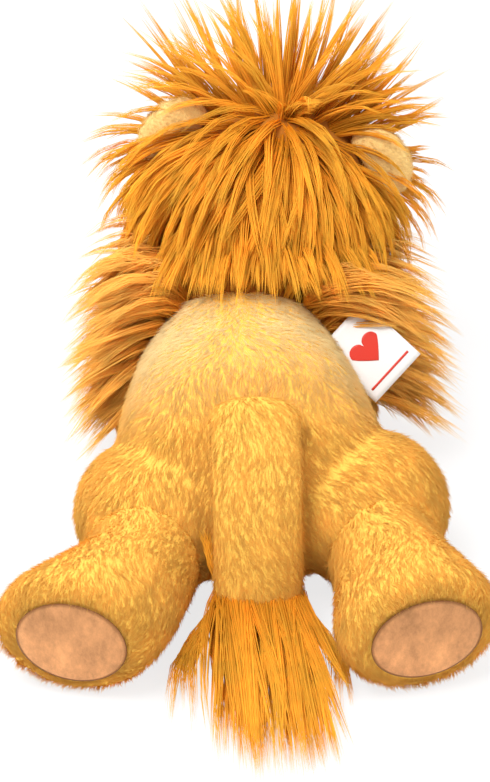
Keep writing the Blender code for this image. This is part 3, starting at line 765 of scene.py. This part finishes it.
# Tuft: long amber hair sewn into the tail's end. Its locks fall to the floor and fan out.
def along_line(points, steps):
    """Evenly spaced places on a smooth line through a few points."""
    points = np.asarray(points, float)
    ends = np.vstack([2 * points[0] - points[1], points, 2 * points[-1] - points[-2]])
    whole = np.linspace(0, len(points) - 1 - 1e-9, steps)
    first = whole.astype(int)
    share = (whole - first)[:, None]
    a, b, c, d = (ends[first + i] for i in range(4))
    return 0.5 * (
        2 * b + (c - a) * share + (2 * a - 5 * b + 4 * c - d) * share ** 2
        + (3 * b - a - 3 * c + d) * share ** 3
    )


def locks(name, guides, ups, strands, spread, seed):
    """Long hair in pointed locks. Each guide is the middle line of one lock, and the spread is
    how far its strands stand off that line at the root."""
    rng = np.random.default_rng(seed)
    count, steps = guides.shape[:2]
    share = np.linspace(0, 1, steps)
    along = unit(np.gradient(guides, axis=1))
    side = unit(np.cross(along, ups[:, None, :]))
    lift = np.cross(side, along)
    lock_wave = rng.normal(0, hair_wave, (count, 1)) * np.sin(
        share * rng.uniform(2.5, 5, (count, 1)) + rng.uniform(0, 6.3, (count, 1))
    ) * share
    guides = guides + side * lock_wave[..., None]
    angle = rng.uniform(0, 2 * np.pi, (count, strands))
    far = np.sqrt(rng.random((count, strands))) * spread
    close = 1 - (1 - rng.uniform(*tip_spread, (count, 1, 1))) * share ** 1.4
    a = (far * np.cos(angle))[..., None] * close
    b = (far * np.sin(angle) * lock_flatness)[..., None] * close
    a = a + rng.normal(0, hair_wave * 0.35, (count, strands, 1)) * np.sin(
        share * 5 + rng.uniform(0, 6.3, (count, strands, 1))
    ) * share
    paths = guides[:, None] + side[:, None] * a[..., None] + lift[:, None] * b[..., None]
    reach = rng.uniform(*strand_reach, (count, strands))
    reach[:, 0] = 1
    at = share * reach[..., None] * (steps - 1)
    low = np.minimum(at.astype(int), steps - 2)
    rest = (at - low)[..., None]
    paths = (
        np.take_along_axis(paths, low[..., None], 2) * (1 - rest)
        + np.take_along_axis(paths, low[..., None] + 1, 2) * rest
    ).reshape(-1, steps, 3)
    thin = np.interp(share, (0, 0.15, 0.5, 0.8, 1), (0.8, 1, 0.95, 0.7, 0.4))
    widths = hair_width * rng.uniform(*hair_width_range, (len(paths), 1)) * thin
    tones = lock_tone * np.repeat(rng.random(count), strands)
    tones += (1 - lock_tone) * rng.random(len(paths))
    ups = np.repeat(ups, strands, axis=0)
    return tapered_hairs(name, paths, ups, widths, tones, hair_softness, hair_flatness)


amber_long = fibre_finish(
    "amber_long", (0.82, 0.31, 0.010), (1.0, 0.58, 0.055), 0.5, 0.14, (0.88, 1.14),
)
hair_width = 0.00066
hair_width_range = (0.75, 1.25)
hair_wave = 0.0012
hair_softness = 0.35
hair_flatness = 0.6
lock_points = 5
lock_flatness = 0.6
lock_tone = 0.6
tip_spread = (0.1, 0.6)
strand_reach = (0.66, 1.0)
tuft_root = np.array((0, 0.102, 0.025))
tuft_half = 0.021
tuft_tip_y = 0.236
tuft_ends_x = (-0.047, 0.034)
tuft_strands = 24
tuft_spread = 0.0040
tuft_up = (0, 0.35, 0.94)
tuft_rng = np.random.default_rng(51)
guides, ups = [], []
# The locks that lie on the floor, in a fan.
fan_locks, side_locks, stray_locks = 120, 18, 3
bend_y = 0.122
rest_y = 0.165
for number in range(fan_locks):
    across = tuft_rng.uniform(-1, 1)
    layer = tuft_rng.random()
    fan = across * 0.9 + tuft_rng.normal(0, 0.22)
    end_x = np.interp(fan, (-1.3, 1.3), tuft_ends_x)
    end_y = tuft_tip_y - abs(fan) * 0.018 - abs(tuft_rng.normal(0, 0.018))
    start = tuft_root + (across * tuft_half, -0.004 + 0.004 * layer, -0.006 + 0.012 * layer)
    middle_x = start[0] * 0.75 + end_x * 0.25 + tuft_rng.normal(0, 0.002)
    high = 0.003 + 0.017 * layer
    guides.append(along_line([
        start,
        (middle_x, bend_y, 0.011 + 0.017 * layer),
        (middle_x * 0.4 + end_x * 0.6 + tuft_rng.normal(0, 0.002), rest_y, high),
        (end_x, end_y, 0.001 + high * 0.3),
    ], lock_points))
    ups.append(tuft_up)
# Shorter ones that stand out to both sides.
side_tips_x = (0.034, 0.052)
side_tips_y = (0.155, 0.19)
for number in range(side_locks):
    way = 1 if number % 2 else -1
    end_x = way * tuft_rng.uniform(*side_tips_x)
    end_y = tuft_rng.uniform(*side_tips_y)
    start = tuft_root + (way * tuft_rng.uniform(0.015, 0.023), 0, tuft_rng.uniform(-0.005, 0.006))
    guides.append(along_line([
        start,
        (way * 0.027, 0.119, 0.022),
        (way * 0.02 + end_x * 0.5, 0.138, 0.013),
        (end_x, end_y, 0.002),
    ], lock_points))
    ups.append(tuft_up)
# A few that stick up beside the tail.
for number in range(stray_locks):
    start = tuft_root + (0.017, -0.001, 0.004)
    guides.append(along_line([
        start, (0.023, 0.098, 0.038), (0.027, 0.094, 0.052),
        (0.027 + 0.003 * number, 0.092, 0.066),
    ], lock_points))
    ups.append((0.5, 0.8, 0.3))
tuft = locks(
    "tail_tuft_hair", np.array(guides), np.array(ups), tuft_strands, tuft_spread, 52,
)
tuft.data.materials.append(amber_long)
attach(tuft, "tail_tuft")
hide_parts("tail_tuft")


# Head: a stuffed ball of plush with a muzzle of two puffs and a chin. The mane covers all of it
# but the face, so its cloth is amber there.
head_centre = Vector((-0.016, -0.128, 0.140))
head_halves = np.array((0.062, 0.060, 0.058))
head_lean = math.radians(-9)
head_turn = math.radians(-4)
head_place = (
    Matrix.Translation(head_centre)
    @ Matrix.Rotation(head_turn, 4, "Z")
    @ Matrix.Rotation(head_lean, 4, "Y")
)
head_axes = np.array(head_place.to_3x3())
hairline = -0.026


def in_head(places):
    """Places in the head's own frame."""
    return (places - np.array(head_centre)) @ head_axes


def from_head(places):
    """Places of the head's own frame, in the scene."""
    return places @ head_axes.T + np.array(head_centre)


face_backing = cloth_backing("face_backing", (0.92, 0.50, 0.12))
nodes, links = face_backing.node_tree.nodes, face_backing.node_tree.links
mane_cloth = (0.40, 0.14, 0.015)
face_cloth = nodes["Color Ramp"].outputs["Color"]
two_cloths = mixed(nodes, links, marked(nodes, "under_mane"), face_cloth, mane_cloth)
links.new(two_cloths, nodes["Principled BSDF"].inputs["Base Color"])
head_voxel = 0.002
head_smoothing = 12
head_pile_spacing = 0.0013
head_pile_length = 0.006
face_parting = np.array((-0.02, -0.25, 0.137))
head = joined_form(
    "head_plush", ("head_cover", "head_stuffing", "muzzle", "chin"), head_voxel, head_smoothing,
)
head.data.materials.append(face_backing)
places = np.array([vertex.co for vertex in head.data.vertices])
mark(head.data, "under_mane", in_head(places)[:, 1] > hairline)
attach(head, "head")
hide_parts("head_cover", "muzzle", "chin")
fibres = pile(
    "head_pile", head, lambda places: places - face_parting,
    head_pile_spacing, head_pile_length, 61,
    keep=lambda places: in_head(places)[:, 1] < hairline + 0.004,
    bare=(frame["nodes"]["eye_left"], frame["nodes"]["eye_right"], frame["nodes"]["nose"]),
    steep=24,
)
fibres.data.materials.append(plush_pile)
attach(fibres, "head")


# Nose: a pad of padded cloth under close upright stitches of brown thread. Below it one thread
# runs down between the puffs of the muzzle and turns up into a mouth on each side.
def thread_tube(name, points, radius, sides=8, steps=28):
    """A closed thread along a smooth line through a few points."""
    line = along_line(points, steps)
    along = unit(np.gradient(line, axis=0))
    across = unit(np.cross(along, (0.13, 0.97, 0.21)))
    lift = np.cross(across, along)
    shape = bmesh.new()
    rings = []
    for place, one, two in zip(line, across, lift):
        angles = [2 * math.pi * k / sides for k in range(sides)]
        rings.append([
            shape.verts.new(place + radius * (one * math.cos(a) + two * math.sin(a)))
            for a in angles
        ])
    for ring, after in zip(rings, rings[1:]):
        for k in range(sides):
            n = (k + 1) % sides
            shape.faces.new((ring[k], ring[n], after[n], after[k]))
    shape.faces.new(rings[0][::-1])
    shape.faces.new(rings[-1])
    return closed_piece(name, shape)


def thread_finish(name, colour, stitch_size):
    """Glossy thread in close rows of stitches."""
    finish, nodes, links, shader = new_finish(name, 0.5, 0.4)
    shader.inputs["Sheen Weight"].default_value = 0.2
    place = nodes.new("ShaderNodeTexCoord")
    rows = nodes.new("ShaderNodeTexWave")
    rows.bands_direction = "X"
    rows.inputs["Scale"].default_value = 0.314 / stitch_size
    rows.inputs["Distortion"].default_value = 1.2
    rows.inputs["Detail"].default_value = 2
    links.new(place.outputs["Object"], rows.inputs["Vector"])
    shade = shaded(nodes, links, rows, colour, 0.45, 1)
    links.new(shade.outputs["Color"], shader.inputs["Base Color"])
    raised(nodes, links, shader, rows, 0.7, 0.0004)
    return finish


nose_thread = thread_finish("nose_thread", (0.16, 0.055, 0.025), 0.0009)
nose_voxel = 0.0007
nose_smoothing = 3
nose = joined_form("nose_stitched", ("nose",), nose_voxel, nose_smoothing)
nose.data.materials.append(nose_thread)
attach(nose, "head")
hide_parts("nose")
face_skin = surface_of(head)


def on_muzzle(across, height, proud):
    """A place on the front of the muzzle, in the head's own frame."""
    start = Vector(from_head(np.array((across, -0.2, height))))
    way = Vector(head_axes @ (0, 1.0, 0))
    found, out, _, _ = face_skin.ray_cast(start, way)
    return np.array(found + out * proud)


thread_radius = 0.0008
thread_proud = 0.0042
mouth_drop = -0.027
middle_heights = (-0.009, -0.015, -0.021, mouth_drop)
corner_places = ((0.0, mouth_drop), (0.006, -0.031), (0.013, -0.032), (0.019, -0.029))
middle_line = [on_muzzle(0, height, thread_proud) for height in middle_heights]
mouth = [thread_tube("mouth_middle", middle_line, thread_radius)]
for word, way in (("left", 1), ("right", -1)):
    corner = [on_muzzle(way * across, height, thread_proud) for across, height in corner_places]
    mouth.append(thread_tube("mouth_" + word, corner, thread_radius))
for thread in mouth:
    thread.data.materials.append(nose_thread)
    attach(thread, "head")


# Eyes: glossy domes of brown plastic with a black pupil, each on a shank that a washer locks
# behind the cloth.
def eye_piece(word, across, height):
    """One eye, turned from its profile at its place on the face."""
    a, b, c = head_halves
    depth = -b * math.sqrt(1 - (across / a) ** 2 - (height / c) ** 2)
    seat = from_head(np.array((across, depth, height)))
    out = head_axes @ unit(np.array((across / a ** 2, depth / b ** 2, height / c ** 2)))
    bpy.ops.mesh.primitive_uv_sphere_add(segments=48, ring_count=32, radius=eye_radius)
    eye = bpy.context.object
    eye.name = "eye_%s_gloss" % word
    turn = Vector(out).to_track_quat("Z", "Y").to_matrix()
    pupil = eye.data.attributes.new("pupil", "FLOAT", "POINT")
    for index, vertex in enumerate(eye.data.vertices):
        x, y, z = vertex.co
        pupil.data[index].value = math.hypot(x, y) / eye_radius if z > 0 else 1
        flat = Vector((x, y, z * eye_dome_share if z > 0 else z * eye_back_share))
        vertex.co = turn @ flat + Vector(seat) + Vector(out) * eye_proud
    eye.data.shade_smooth()
    eye.select_set(False)
    return eye


eye_radius = 0.007
eye_dome_share = 0.62
eye_back_share = 0.25
eye_proud = 0.0012
eye_across = 0.023
eye_height = 0.012
eye_plastic, nodes, links, shader = new_finish("eye_plastic", 0.25, 0.2)
shader.inputs["Coat Weight"].default_value = 0.6
shader.inputs["Coat Roughness"].default_value = 0.03
from_middle = marked(nodes, "pupil")
rings = nodes.new("ShaderNodeValToRGB")
rings.color_ramp.elements[0].position = 0.42
rings.color_ramp.elements[0].color = (0.004, 0.003, 0.003, 1)
rings.color_ramp.elements[1].position = 0.50
rings.color_ramp.elements[1].color = (0.13, 0.045, 0.010, 1)
rings.color_ramp.elements.new(0.86).color = (0.06, 0.020, 0.006, 1)
rings.color_ramp.elements.new(0.96).color = (0.010, 0.006, 0.004, 1)
links.new(from_middle, rings.inputs["Fac"])
place = nodes.new("ShaderNodeTexCoord")
fleck = noise(nodes, links, place.outputs["Object"], 700)
flecked = nodes.new("ShaderNodeMix")
flecked.data_type = "RGBA"
flecked.blend_type = "MULTIPLY"
flecked.inputs["Factor"].default_value = 0.35
links.new(rings.outputs["Color"], flecked.inputs["A"])
links.new(fleck.outputs["Fac"], flecked.inputs["B"])
links.new(flecked.outputs["Result"], shader.inputs["Base Color"])
for word, way in (("left", 1), ("right", -1)):
    eye = eye_piece(word, way * eye_across, eye_height)
    eye.data.materials.append(eye_plastic)
    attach(eye, "head")
    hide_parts("eye_" + word)


# Ears: two layers of pale plush sewn together and turned, dished in front, and sewn into the
# scalp along their lower edge.
ear_pile = fibre_finish(
    "ear_pile", (0.98, 0.66, 0.22), (1.0, 0.80, 0.38), 0.8, 0.08, (0.95, 1.08),
)
ear_backing = cloth_backing("ear_backing", (0.95, 0.60, 0.22))
ear_voxel = 0.0012
ear_smoothing = 6
ear_pile_spacing = 0.0012
ear_pile_length = 0.0045
for word, way in (("left", 1), ("right", -1)):
    body = "ear_" + word
    ear = joined_form(body + "_plush", (body,), ear_voxel, ear_smoothing)
    ear.data.materials.append(ear_backing)
    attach(ear, body)
    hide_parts(body)
    outwards = head_axes @ unit(np.array((way * 0.8, 0, 0.6)))
    fibres = pile(
        body + "_pile", ear, lambda places: np.tile(outwards, (len(places), 1)),
        ear_pile_spacing, ear_pile_length, 65, near=("head_cover",),
    )
    fibres.data.materials.append(ear_pile)
    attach(fibres, body)


# Crown of the mane: long amber hair sewn in rings round the back of the head. It parts from a
# whorl on top, stands up in front, and falls over the ears' roots, the sides and the nape,
# where a fringe of loose locks lies on the back.
def crown_guides(count, seed):
    """Middle lines of the locks. They leave the scalp away from the whorl, and those that come
    down on the back slide over it."""
    rng = np.random.default_rng(seed)
    back_skin = surface_of(torso)
    numbers = np.arange(count) + 0.5
    polar = np.arccos(1 - 2 * numbers / count)
    around = np.pi * (1 + 5 ** 0.5) * numbers
    ways = np.stack([
        np.cos(around) * np.sin(polar), np.sin(around) * np.sin(polar), np.cos(polar),
    ], axis=1) + rng.normal(0, 0.03, (count, 3))
    roots = unit(ways) * head_halves
    kept = (roots[:, 1] > hairline) & (roots[:, 2] > crown_lowest)
    roots = roots[kept]
    count = len(roots)
    normal = unit(roots / head_halves ** 2)
    front = np.clip(-normal[:, 1] * 1.8 + 0.25, 0, 1) * np.clip(normal[:, 2] * 1.6, 0, 1)
    back = np.clip(normal[:, 1], 0, 1)
    layer = rng.random(count)
    side = np.abs(normal[:, 0])
    leftward = np.clip(normal[:, 0] * 1.6, 0, 1)
    whorl = np.clip((normal[:, 2] - 0.88) * 10, 0, 1) * (normal[:, 1] < 0.05)
    rise = (0.50 - 0.26 * back + 0.75 * front + 0.28 * side) * (0.65 + 0.7 * layer) + 0.9 * whorl
    run = 0.75 + 0.3 * back - 0.35 * front
    crest = crest_least + crest_more * rng.random(count) ** 2
    uneven = rng.normal(0, 1, count) * (crown_uneven + back_uneven * back)
    shorter = side_shorter * side * (1 - 0.5 * leftward)
    length = crown_length + back_longer * back + front * crest - shorter + uneven
    down = np.array((0, 0, -1.0)) @ head_axes
    here = roots * root_share
    path = [here]
    bend = rng.normal(0, crown_bend, (count, 1))
    for step in range(lock_points - 1):
        share = (step + 0.5) / (lock_points - 1)
        normal = unit(here / head_halves ** 2)
        away = unit(normal * normal[:, 2:] - (0, 0, 1))
        away = away + np.cross(normal, away) * bend
        fall = (0.05 + 0.45 * share) * (1 - front) * (1 - 0.5 * side) * (1 - 0.4 * leftward)
        fall = (fall - 0.55 * front)[:, None]
        way = unit(
            normal * (rise * (1 - 0.7 * share))[:, None] + away * run[:, None] + down * fall
        )
        here = from_head(here + way * (length / (lock_points - 1))[:, None])
        for place in here:
            near, out, _, _ = back_skin.find_nearest(Vector(place))
            depth = (Vector(place) - near).dot(out)
            if depth < back_clear:
                place += np.array(out) * (back_clear - depth) * min(1, share + 0.3)
        here = in_head(here)
        path.append(here)
    guides = from_head(np.stack(path, axis=1))
    ups = unit(roots / head_halves ** 2) @ head_axes.T
    return guides, ups, rng


def off_the_body(guides, thing, clear):
    """Pushes a lock's points out of a skin and its pile."""
    tree = surface_of(thing)
    for lock in guides:
        for index in range(1, len(lock)):
            near, out, _, _ = tree.find_nearest(Vector(lock[index]), push_reach)
            if near is None:
                continue
            depth = (Vector(lock[index]) - near).dot(out)
            if depth < clear:
                lock[index] += np.array(out) * (clear - depth) * min(1, index / 2)


crown_lowest = -0.056
crown_length = 0.062
back_longer = 0.020
side_shorter = 0.012
crest_least = 0.004
crest_more = 0.024
crown_uneven = 0.006
back_uneven = 0.005
crown_bend = 0.2
root_share = 0.985
crown_strands = 16
crown_spread = 0.0032
back_clear = 0.008
nape_clear = 0.006
push_reach = 0.04
ear_depth = 0.004
crown_roots = 2100
guides, ups, rng = crown_guides(crown_roots, 71)

# The hair is thinned where it would hide an ear. Each sight is a way to look from, how far
# from the ear's middle it counts, and the share of the locks that stay on the two ears.
sights = (
    (np.array(camera_way), 0.015, (0.5, 0.2)),
    (np.array((0, -1.0, 0)), 0.013, (0.3, 0.3)),
)
kept = np.ones(len(guides), bool)
for number, word in enumerate(("left", "right")):
    ear_node = frame["nodes"]["ear_" + word]
    ear_middle = np.array([v.co for v in ear_node.data.vertices]).mean(0)
    for sight, reach, left_over in sights:
        from_ear = guides[:, 1:] - ear_middle
        along_sight = from_ear @ sight
        aside = np.linalg.norm(from_ear - along_sight[..., None] * sight, axis=2)
        veils = ((along_sight > -ear_depth) & (aside < reach)).any(axis=1)
        kept &= ~veils | (rng.random(len(kept)) < left_over[number])
guides, ups = guides[kept], ups[kept]

# The fringe on the nape. It is longest in the middle of the back, and fans out.
nape_locks = 190
nape_half = 0.044
nape_root_y = 0.038
nape_root_low = -0.024
nape_root_height = 0.034
nape_fan = 0.026
nape_tip_y = -0.036
nape_tip_z = 0.134
nape_tip_uneven = (0.005, 0.010)
nape_guides, nape_ups = [], []
for number in range(nape_locks):
    across = rng.uniform(-1, 1)
    start = from_head(np.array((
        nape_half * across, nape_root_y, nape_root_low + nape_root_height * rng.random(),
    )))
    end = np.array((
        start[0] + nape_fan * across + rng.normal(0, nape_tip_uneven[0]),
        nape_tip_y - 0.016 * across ** 2 + rng.normal(0, nape_tip_uneven[1]),
        nape_tip_z - 0.010 * across ** 2,
    ))
    nape_guides.append(along_line([
        start, start * 0.7 + end * 0.3 + (0, 0.004, 0.009),
        start * 0.3 + end * 0.7 + (0, 0, 0.008), end,
    ], lock_points))
    nape_ups.append((0.3 * across, 0.6, 0.75))
nape_guides = np.array(nape_guides)
off_the_body(nape_guides, torso, nape_clear)

# Short locks that close the whorl.
whorl_locks = 40
whorl_radius = 0.009
whorl_height = 0.057
whorl_reach = (0.018, 0.034)
whorl_guides, whorl_ups = [], []
for number in range(whorl_locks):
    turn, far = rng.uniform(0, 2 * math.pi), whorl_radius * math.sqrt(rng.random())
    aside = np.array((math.cos(turn), math.sin(turn), 0))
    start = from_head(aside * far + (0, 0, whorl_height))
    lean = head_axes @ unit(aside * 0.7 + (0, -0.25, 0.7))
    reach = rng.uniform(*whorl_reach)
    whorl_guides.append(along_line([
        start, start + lean * reach * 0.5, start + (lean + (0, 0, -0.2)) * reach,
    ], lock_points))
    whorl_ups.append(head_axes @ (0, 0.5, 0.87))
guides = np.concatenate([guides, nape_guides, np.array(whorl_guides)])
ups = np.concatenate([ups, unit(np.array(nape_ups)), np.array(whorl_ups)])
crown_parts = 4
for number in range(crown_parts):
    crown = locks(
        "mane_crown_hair_%d" % (number + 1), guides[number::crown_parts],
        ups[number::crown_parts], crown_strands, crown_spread, 72 + number,
    )
    crown.data.materials.append(amber_long)
    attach(crown, "head")
    if number == 0:
        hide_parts("mane_crown")


# Ruffs: the mane on the neck. Its hair is sewn into the seam in front of the shoulders and
# hangs out to both sides down to the floor, over a flap of the same cloth that is hidden in it.
# The outline of each side's tips, from the top to the floor: how far out and how high.
ruff_tips = {
    "left": ((0.100, 0.115), (0.106, 0.090), (0.113, 0.053), (0.109, 0.025), (0.104, 0.004)),
    "right": ((0.113, 0.115), (0.126, 0.090), (0.134, 0.053), (0.133, 0.025), (0.127, 0.004)),
}
# A lighter copy of the amber hair: its lighter root is painted light that offsets the deep shade
# inside the ruffs, and its tips are paler too.
amber_neck = fibre_finish(
    "amber_neck", (0.96, 0.43, 0.025), (1.0, 0.68, 0.16), 0.5, 0.14, (0.94, 1.16),
)
neck_backing = cloth_backing("neck_backing", (0.80, 0.36, 0.040))
flap_voxel = 0.004
flap_smoothing = 6
flap_share = np.array((0.74, 0.62, 0.80))
ruff_seam = np.array((0.045, -0.082, 0.080))
ruff_root_x = 0.034
ruff_root_y = -0.084
ruff_root_half = 0.028
ruff_root_top = 0.114
ruff_root_drop = 0.072
ruff_tip_y = -0.080
ruff_tip_half = 0.038
ruff_reach = (0.5, 1.02)
ruff_locks = 470
ruff_strands = 16
ruff_spread = 0.0036
ruff_off_torso = 0.007
ruff_off_leg = 0.006
ruff_lowest = 0.0015
ruff_rng = np.random.default_rng(81)
for word, way in (("left", 1), ("right", -1)):
    flap = joined_form("ruff_%s_flap" % word, ("ruff_" + word,), flap_voxel, flap_smoothing)
    seam = ruff_seam * (way, 1, 1)
    for vertex in flap.data.vertices:
        vertex.co = seam + (np.array(vertex.co) - seam) * flap_share
    flap.data.materials.append(neck_backing)
    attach(flap, "torso")
    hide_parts("ruff_" + word)
    tips = np.array(ruff_tips[word])
    guides, ups = [], []
    for number in range(ruff_locks):
        share = ruff_rng.random()
        back = ruff_rng.uniform(-1, 1)
        start = np.array((
            way * (ruff_root_x + 0.016 * share), ruff_root_y + ruff_root_half * back,
            ruff_root_top - ruff_root_drop * share,
        ))
        fall = np.clip(share + ruff_rng.normal(0, 0.12), 0, 1) * (len(tips) - 1)
        end_x = np.interp(fall, range(len(tips)), tips[:, 0])
        end_z = np.interp(fall, range(len(tips)), tips[:, 1])
        end_y = ruff_tip_y + ruff_tip_half * back + ruff_rng.normal(0, 0.006)
        end = np.array((way * end_x, end_y, end_z))
        end = start + (end - start) * ruff_rng.uniform(*ruff_reach)
        lift = np.array((0, 0.010 * (back > 0), 0.012 + 0.014 * ruff_rng.random()))
        guides.append(along_line([
            start,
            start + (end - start) * 0.33 + lift,
            start + (end - start) * 0.72 + lift * 0.75,
            end,
        ], lock_points))
        ups.append((way * 0.35, 0.35 * np.sign(back), 0.87))
    guides = np.array(guides)
    off_the_body(guides, torso, ruff_off_torso)
    off_the_body(guides, bpy.data.objects["front_leg_%s_plush" % word], ruff_off_leg)
    guides[..., 2] = np.maximum(guides[..., 2], ruff_lowest)
    ruff = locks(
        "ruff_%s_hair" % word, guides, unit(np.array(ups)), ruff_strands, ruff_spread, 82 + way,
    )
    ruff.data.materials.append(amber_neck)
    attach(ruff, "torso")


# Bib: the mane on the chest, which hangs from under the chin down between the front legs.
bib_root_half = 0.026
bib_root_y = -0.094
bib_top = 0.066
bib_tip_half = 0.017
bib_tip_y = -0.112
bib_low = 0.004
bib_locks = 90
bib_strands = 16
bib_spread = 0.004
bib_off_leg = 0.003
bib_rng = np.random.default_rng(91)
guides, ups = [], []
for number in range(bib_locks):
    across = bib_rng.uniform(-1, 1)
    share = bib_rng.random()
    start = np.array((
        across * bib_root_half, bib_root_y - 0.006 * share, bib_top - 0.03 * share,
    ))
    end = np.array((
        across * bib_tip_half, bib_tip_y - 0.010 * bib_rng.random(),
        bib_low + 0.026 * (1 - share),
    ))
    guides.append(along_line([
        start, start + (end - start) * 0.4 + (0, -0.010, 0.002),
        start + (end - start) * 0.75 + (0, -0.008, 0), end,
    ], lock_points))
    ups.append((across * 0.4, -0.9, 0.2))
guides = np.array(guides)
for word in ("left", "right"):
    off_the_body(guides, bpy.data.objects["front_leg_%s_plush" % word], bib_off_leg)
bib = locks("ruff_bib_hair", guides, unit(np.array(ups)), bib_strands, bib_spread, 92)
bib.data.materials.append(amber_long)
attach(bib, "torso")
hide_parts("ruff_bib")


# Label: a tag of white satin sewn into the right side seam behind the mane. It carries a plain
# heart and a stripe in red print.
label_length = 0.045
label_width = 0.038
label_corner = np.array((-0.067, -0.0506, 0.115))
length_way = unit(np.array((-0.72, 0.41, -0.56)))
width_way = np.array((0.78, 0.37, -0.51))
width_way = unit(width_way - width_way @ length_way * length_way)
label_out = np.cross(width_way, length_way)
if label_out @ np.array(camera_way) < 0:
    label_out = -label_out
label_curl = 0.0016
label_half_thickness = 0.0003
print_low = 0.00035
heart_high = 0.00055
stripe_high = 0.0005


def on_label(down, across, proud):
    """A place on the tag: down its length, across its width, both as shares."""
    bow = label_curl * (math.sin(down * math.pi) + 0.6 * down ** 2 * math.cos(across * 3))
    return (
        label_corner + length_way * label_length * down + width_way * label_width * across
        + label_out * (bow + proud)
    )


def label_patch(name, outline, low, high, rows, columns):
    """A thin closed patch that follows the tag. The outline gives each row's two ends, as
    shares of the tag's length and width."""
    shape = bmesh.new()
    faces = []
    for proud in (high, low):
        grid = []
        for i in range(rows + 1):
            start, end = (np.array(place) for place in outline(i / rows))
            grid.append([
                shape.verts.new(on_label(*(start + (end - start) * j / columns), proud))
                for j in range(columns + 1)
            ])
        faces.append(grid)
    top, bottom = faces
    for i in range(rows):
        for j in range(columns):
            shape.faces.new((top[i][j], top[i][j + 1], top[i + 1][j + 1], top[i + 1][j]))
            shape.faces.new((
                bottom[i][j], bottom[i + 1][j], bottom[i + 1][j + 1], bottom[i][j + 1]
            ))
    edge = (
        [(0, j) for j in range(columns)] + [(i, columns) for i in range(rows)]
        + [(rows, j) for j in range(columns, 0, -1)] + [(i, 0) for i in range(rows, 0, -1)]
    )
    for (i, j), (m, n) in zip(edge, edge[1:] + edge[:1]):
        shape.faces.new((top[i][j], bottom[i][j], bottom[m][n], top[m][n]))
    return closed_piece(name, shape)


def heart_row(share):
    """The top and the bottom of a heart at a share of its width."""
    side = min(0.998, max(-0.998, 2 * share - 1))
    lobe = math.sqrt(1 - (2 * abs(side) - 1) ** 2)
    point = (1 - abs(side)) ** 0.85
    across = 0.5 + 0.27 * side
    return (0.40 - 0.10 * lobe, across), (0.41 + 0.25 * point, across)


def satin_finish(name, colour):
    """Woven satin: a fine rib, a soft gloss and a slight unevenness."""
    finish, nodes, links, shader = new_finish(name, 0.42, 0.35)
    place = nodes.new("ShaderNodeTexCoord")
    weave = noise(nodes, links, place.outputs["Object"], 1200)
    shade = shaded(nodes, links, weave, colour, 0.9, 1)
    links.new(shade.outputs["Color"], shader.inputs["Base Color"])
    raised(nodes, links, shader, weave, 0.25, 0.0002)
    return finish


white_satin = satin_finish("white_satin", (0.80, 0.79, 0.78))
red_print = satin_finish("red_print", (0.62, 0.035, 0.018))
tag = label_patch(
    "label_satin", lambda share: ((share, 0), (share, 1)),
    -label_half_thickness, label_half_thickness, 14, 12,
)
tag.data.materials.append(white_satin)
heart = label_patch("label_heart", heart_row, print_low, heart_high, 32, 12)
heart.data.materials.append(red_print)
stripe = label_patch(
    "label_stripe", lambda share: ((0.84 + 0.03 * share, 0.1), (0.84 + 0.03 * share, 0.9)),
    print_low, stripe_high, 2, 12,
)
stripe.data.materials.append(red_print)
for patch in (tag, heart, stripe):
    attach(patch, "label")
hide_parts("label")


# Inside: white fibre filling in every form, a cloth bag of pellets in the belly, and the
# plastic washers behind the eyes.
def inside_finish(name, colour, roughness, grain, depth):
    """A plain inner material with a grain of its own size."""
    finish, nodes, links, shader = new_finish(name, roughness, 0.5)
    place = nodes.new("ShaderNodeTexCoord")
    tufts = noise(nodes, links, place.outputs["Object"], grain, 6)
    shade = shaded(nodes, links, tufts, colour, 0.8, 1)
    links.new(shade.outputs["Color"], shader.inputs["Base Color"])
    raised(nodes, links, shader, tufts, 0.6, depth)
    return finish


white_fibre = inside_finish("white_fibre", (0.85, 0.85, 0.83), 0.95, 90, 0.003)
bag_cloth = inside_finish("bag_cloth", (0.70, 0.66, 0.58), 0.85, 900, 0.0003)
washer_plastic = inside_finish("washer_plastic", (0.75, 0.74, 0.70), 0.4, 300, 0.0001)
for name, node in frame["nodes"].items():
    if name.endswith("_stuffing"):
        node.material_slots[0].material = white_fibre
    elif name == "pellet_bag":
        node.material_slots[0].material = bag_cloth
    elif name.startswith("eye_washer"):
        node.material_slots[0].material = washer_plastic
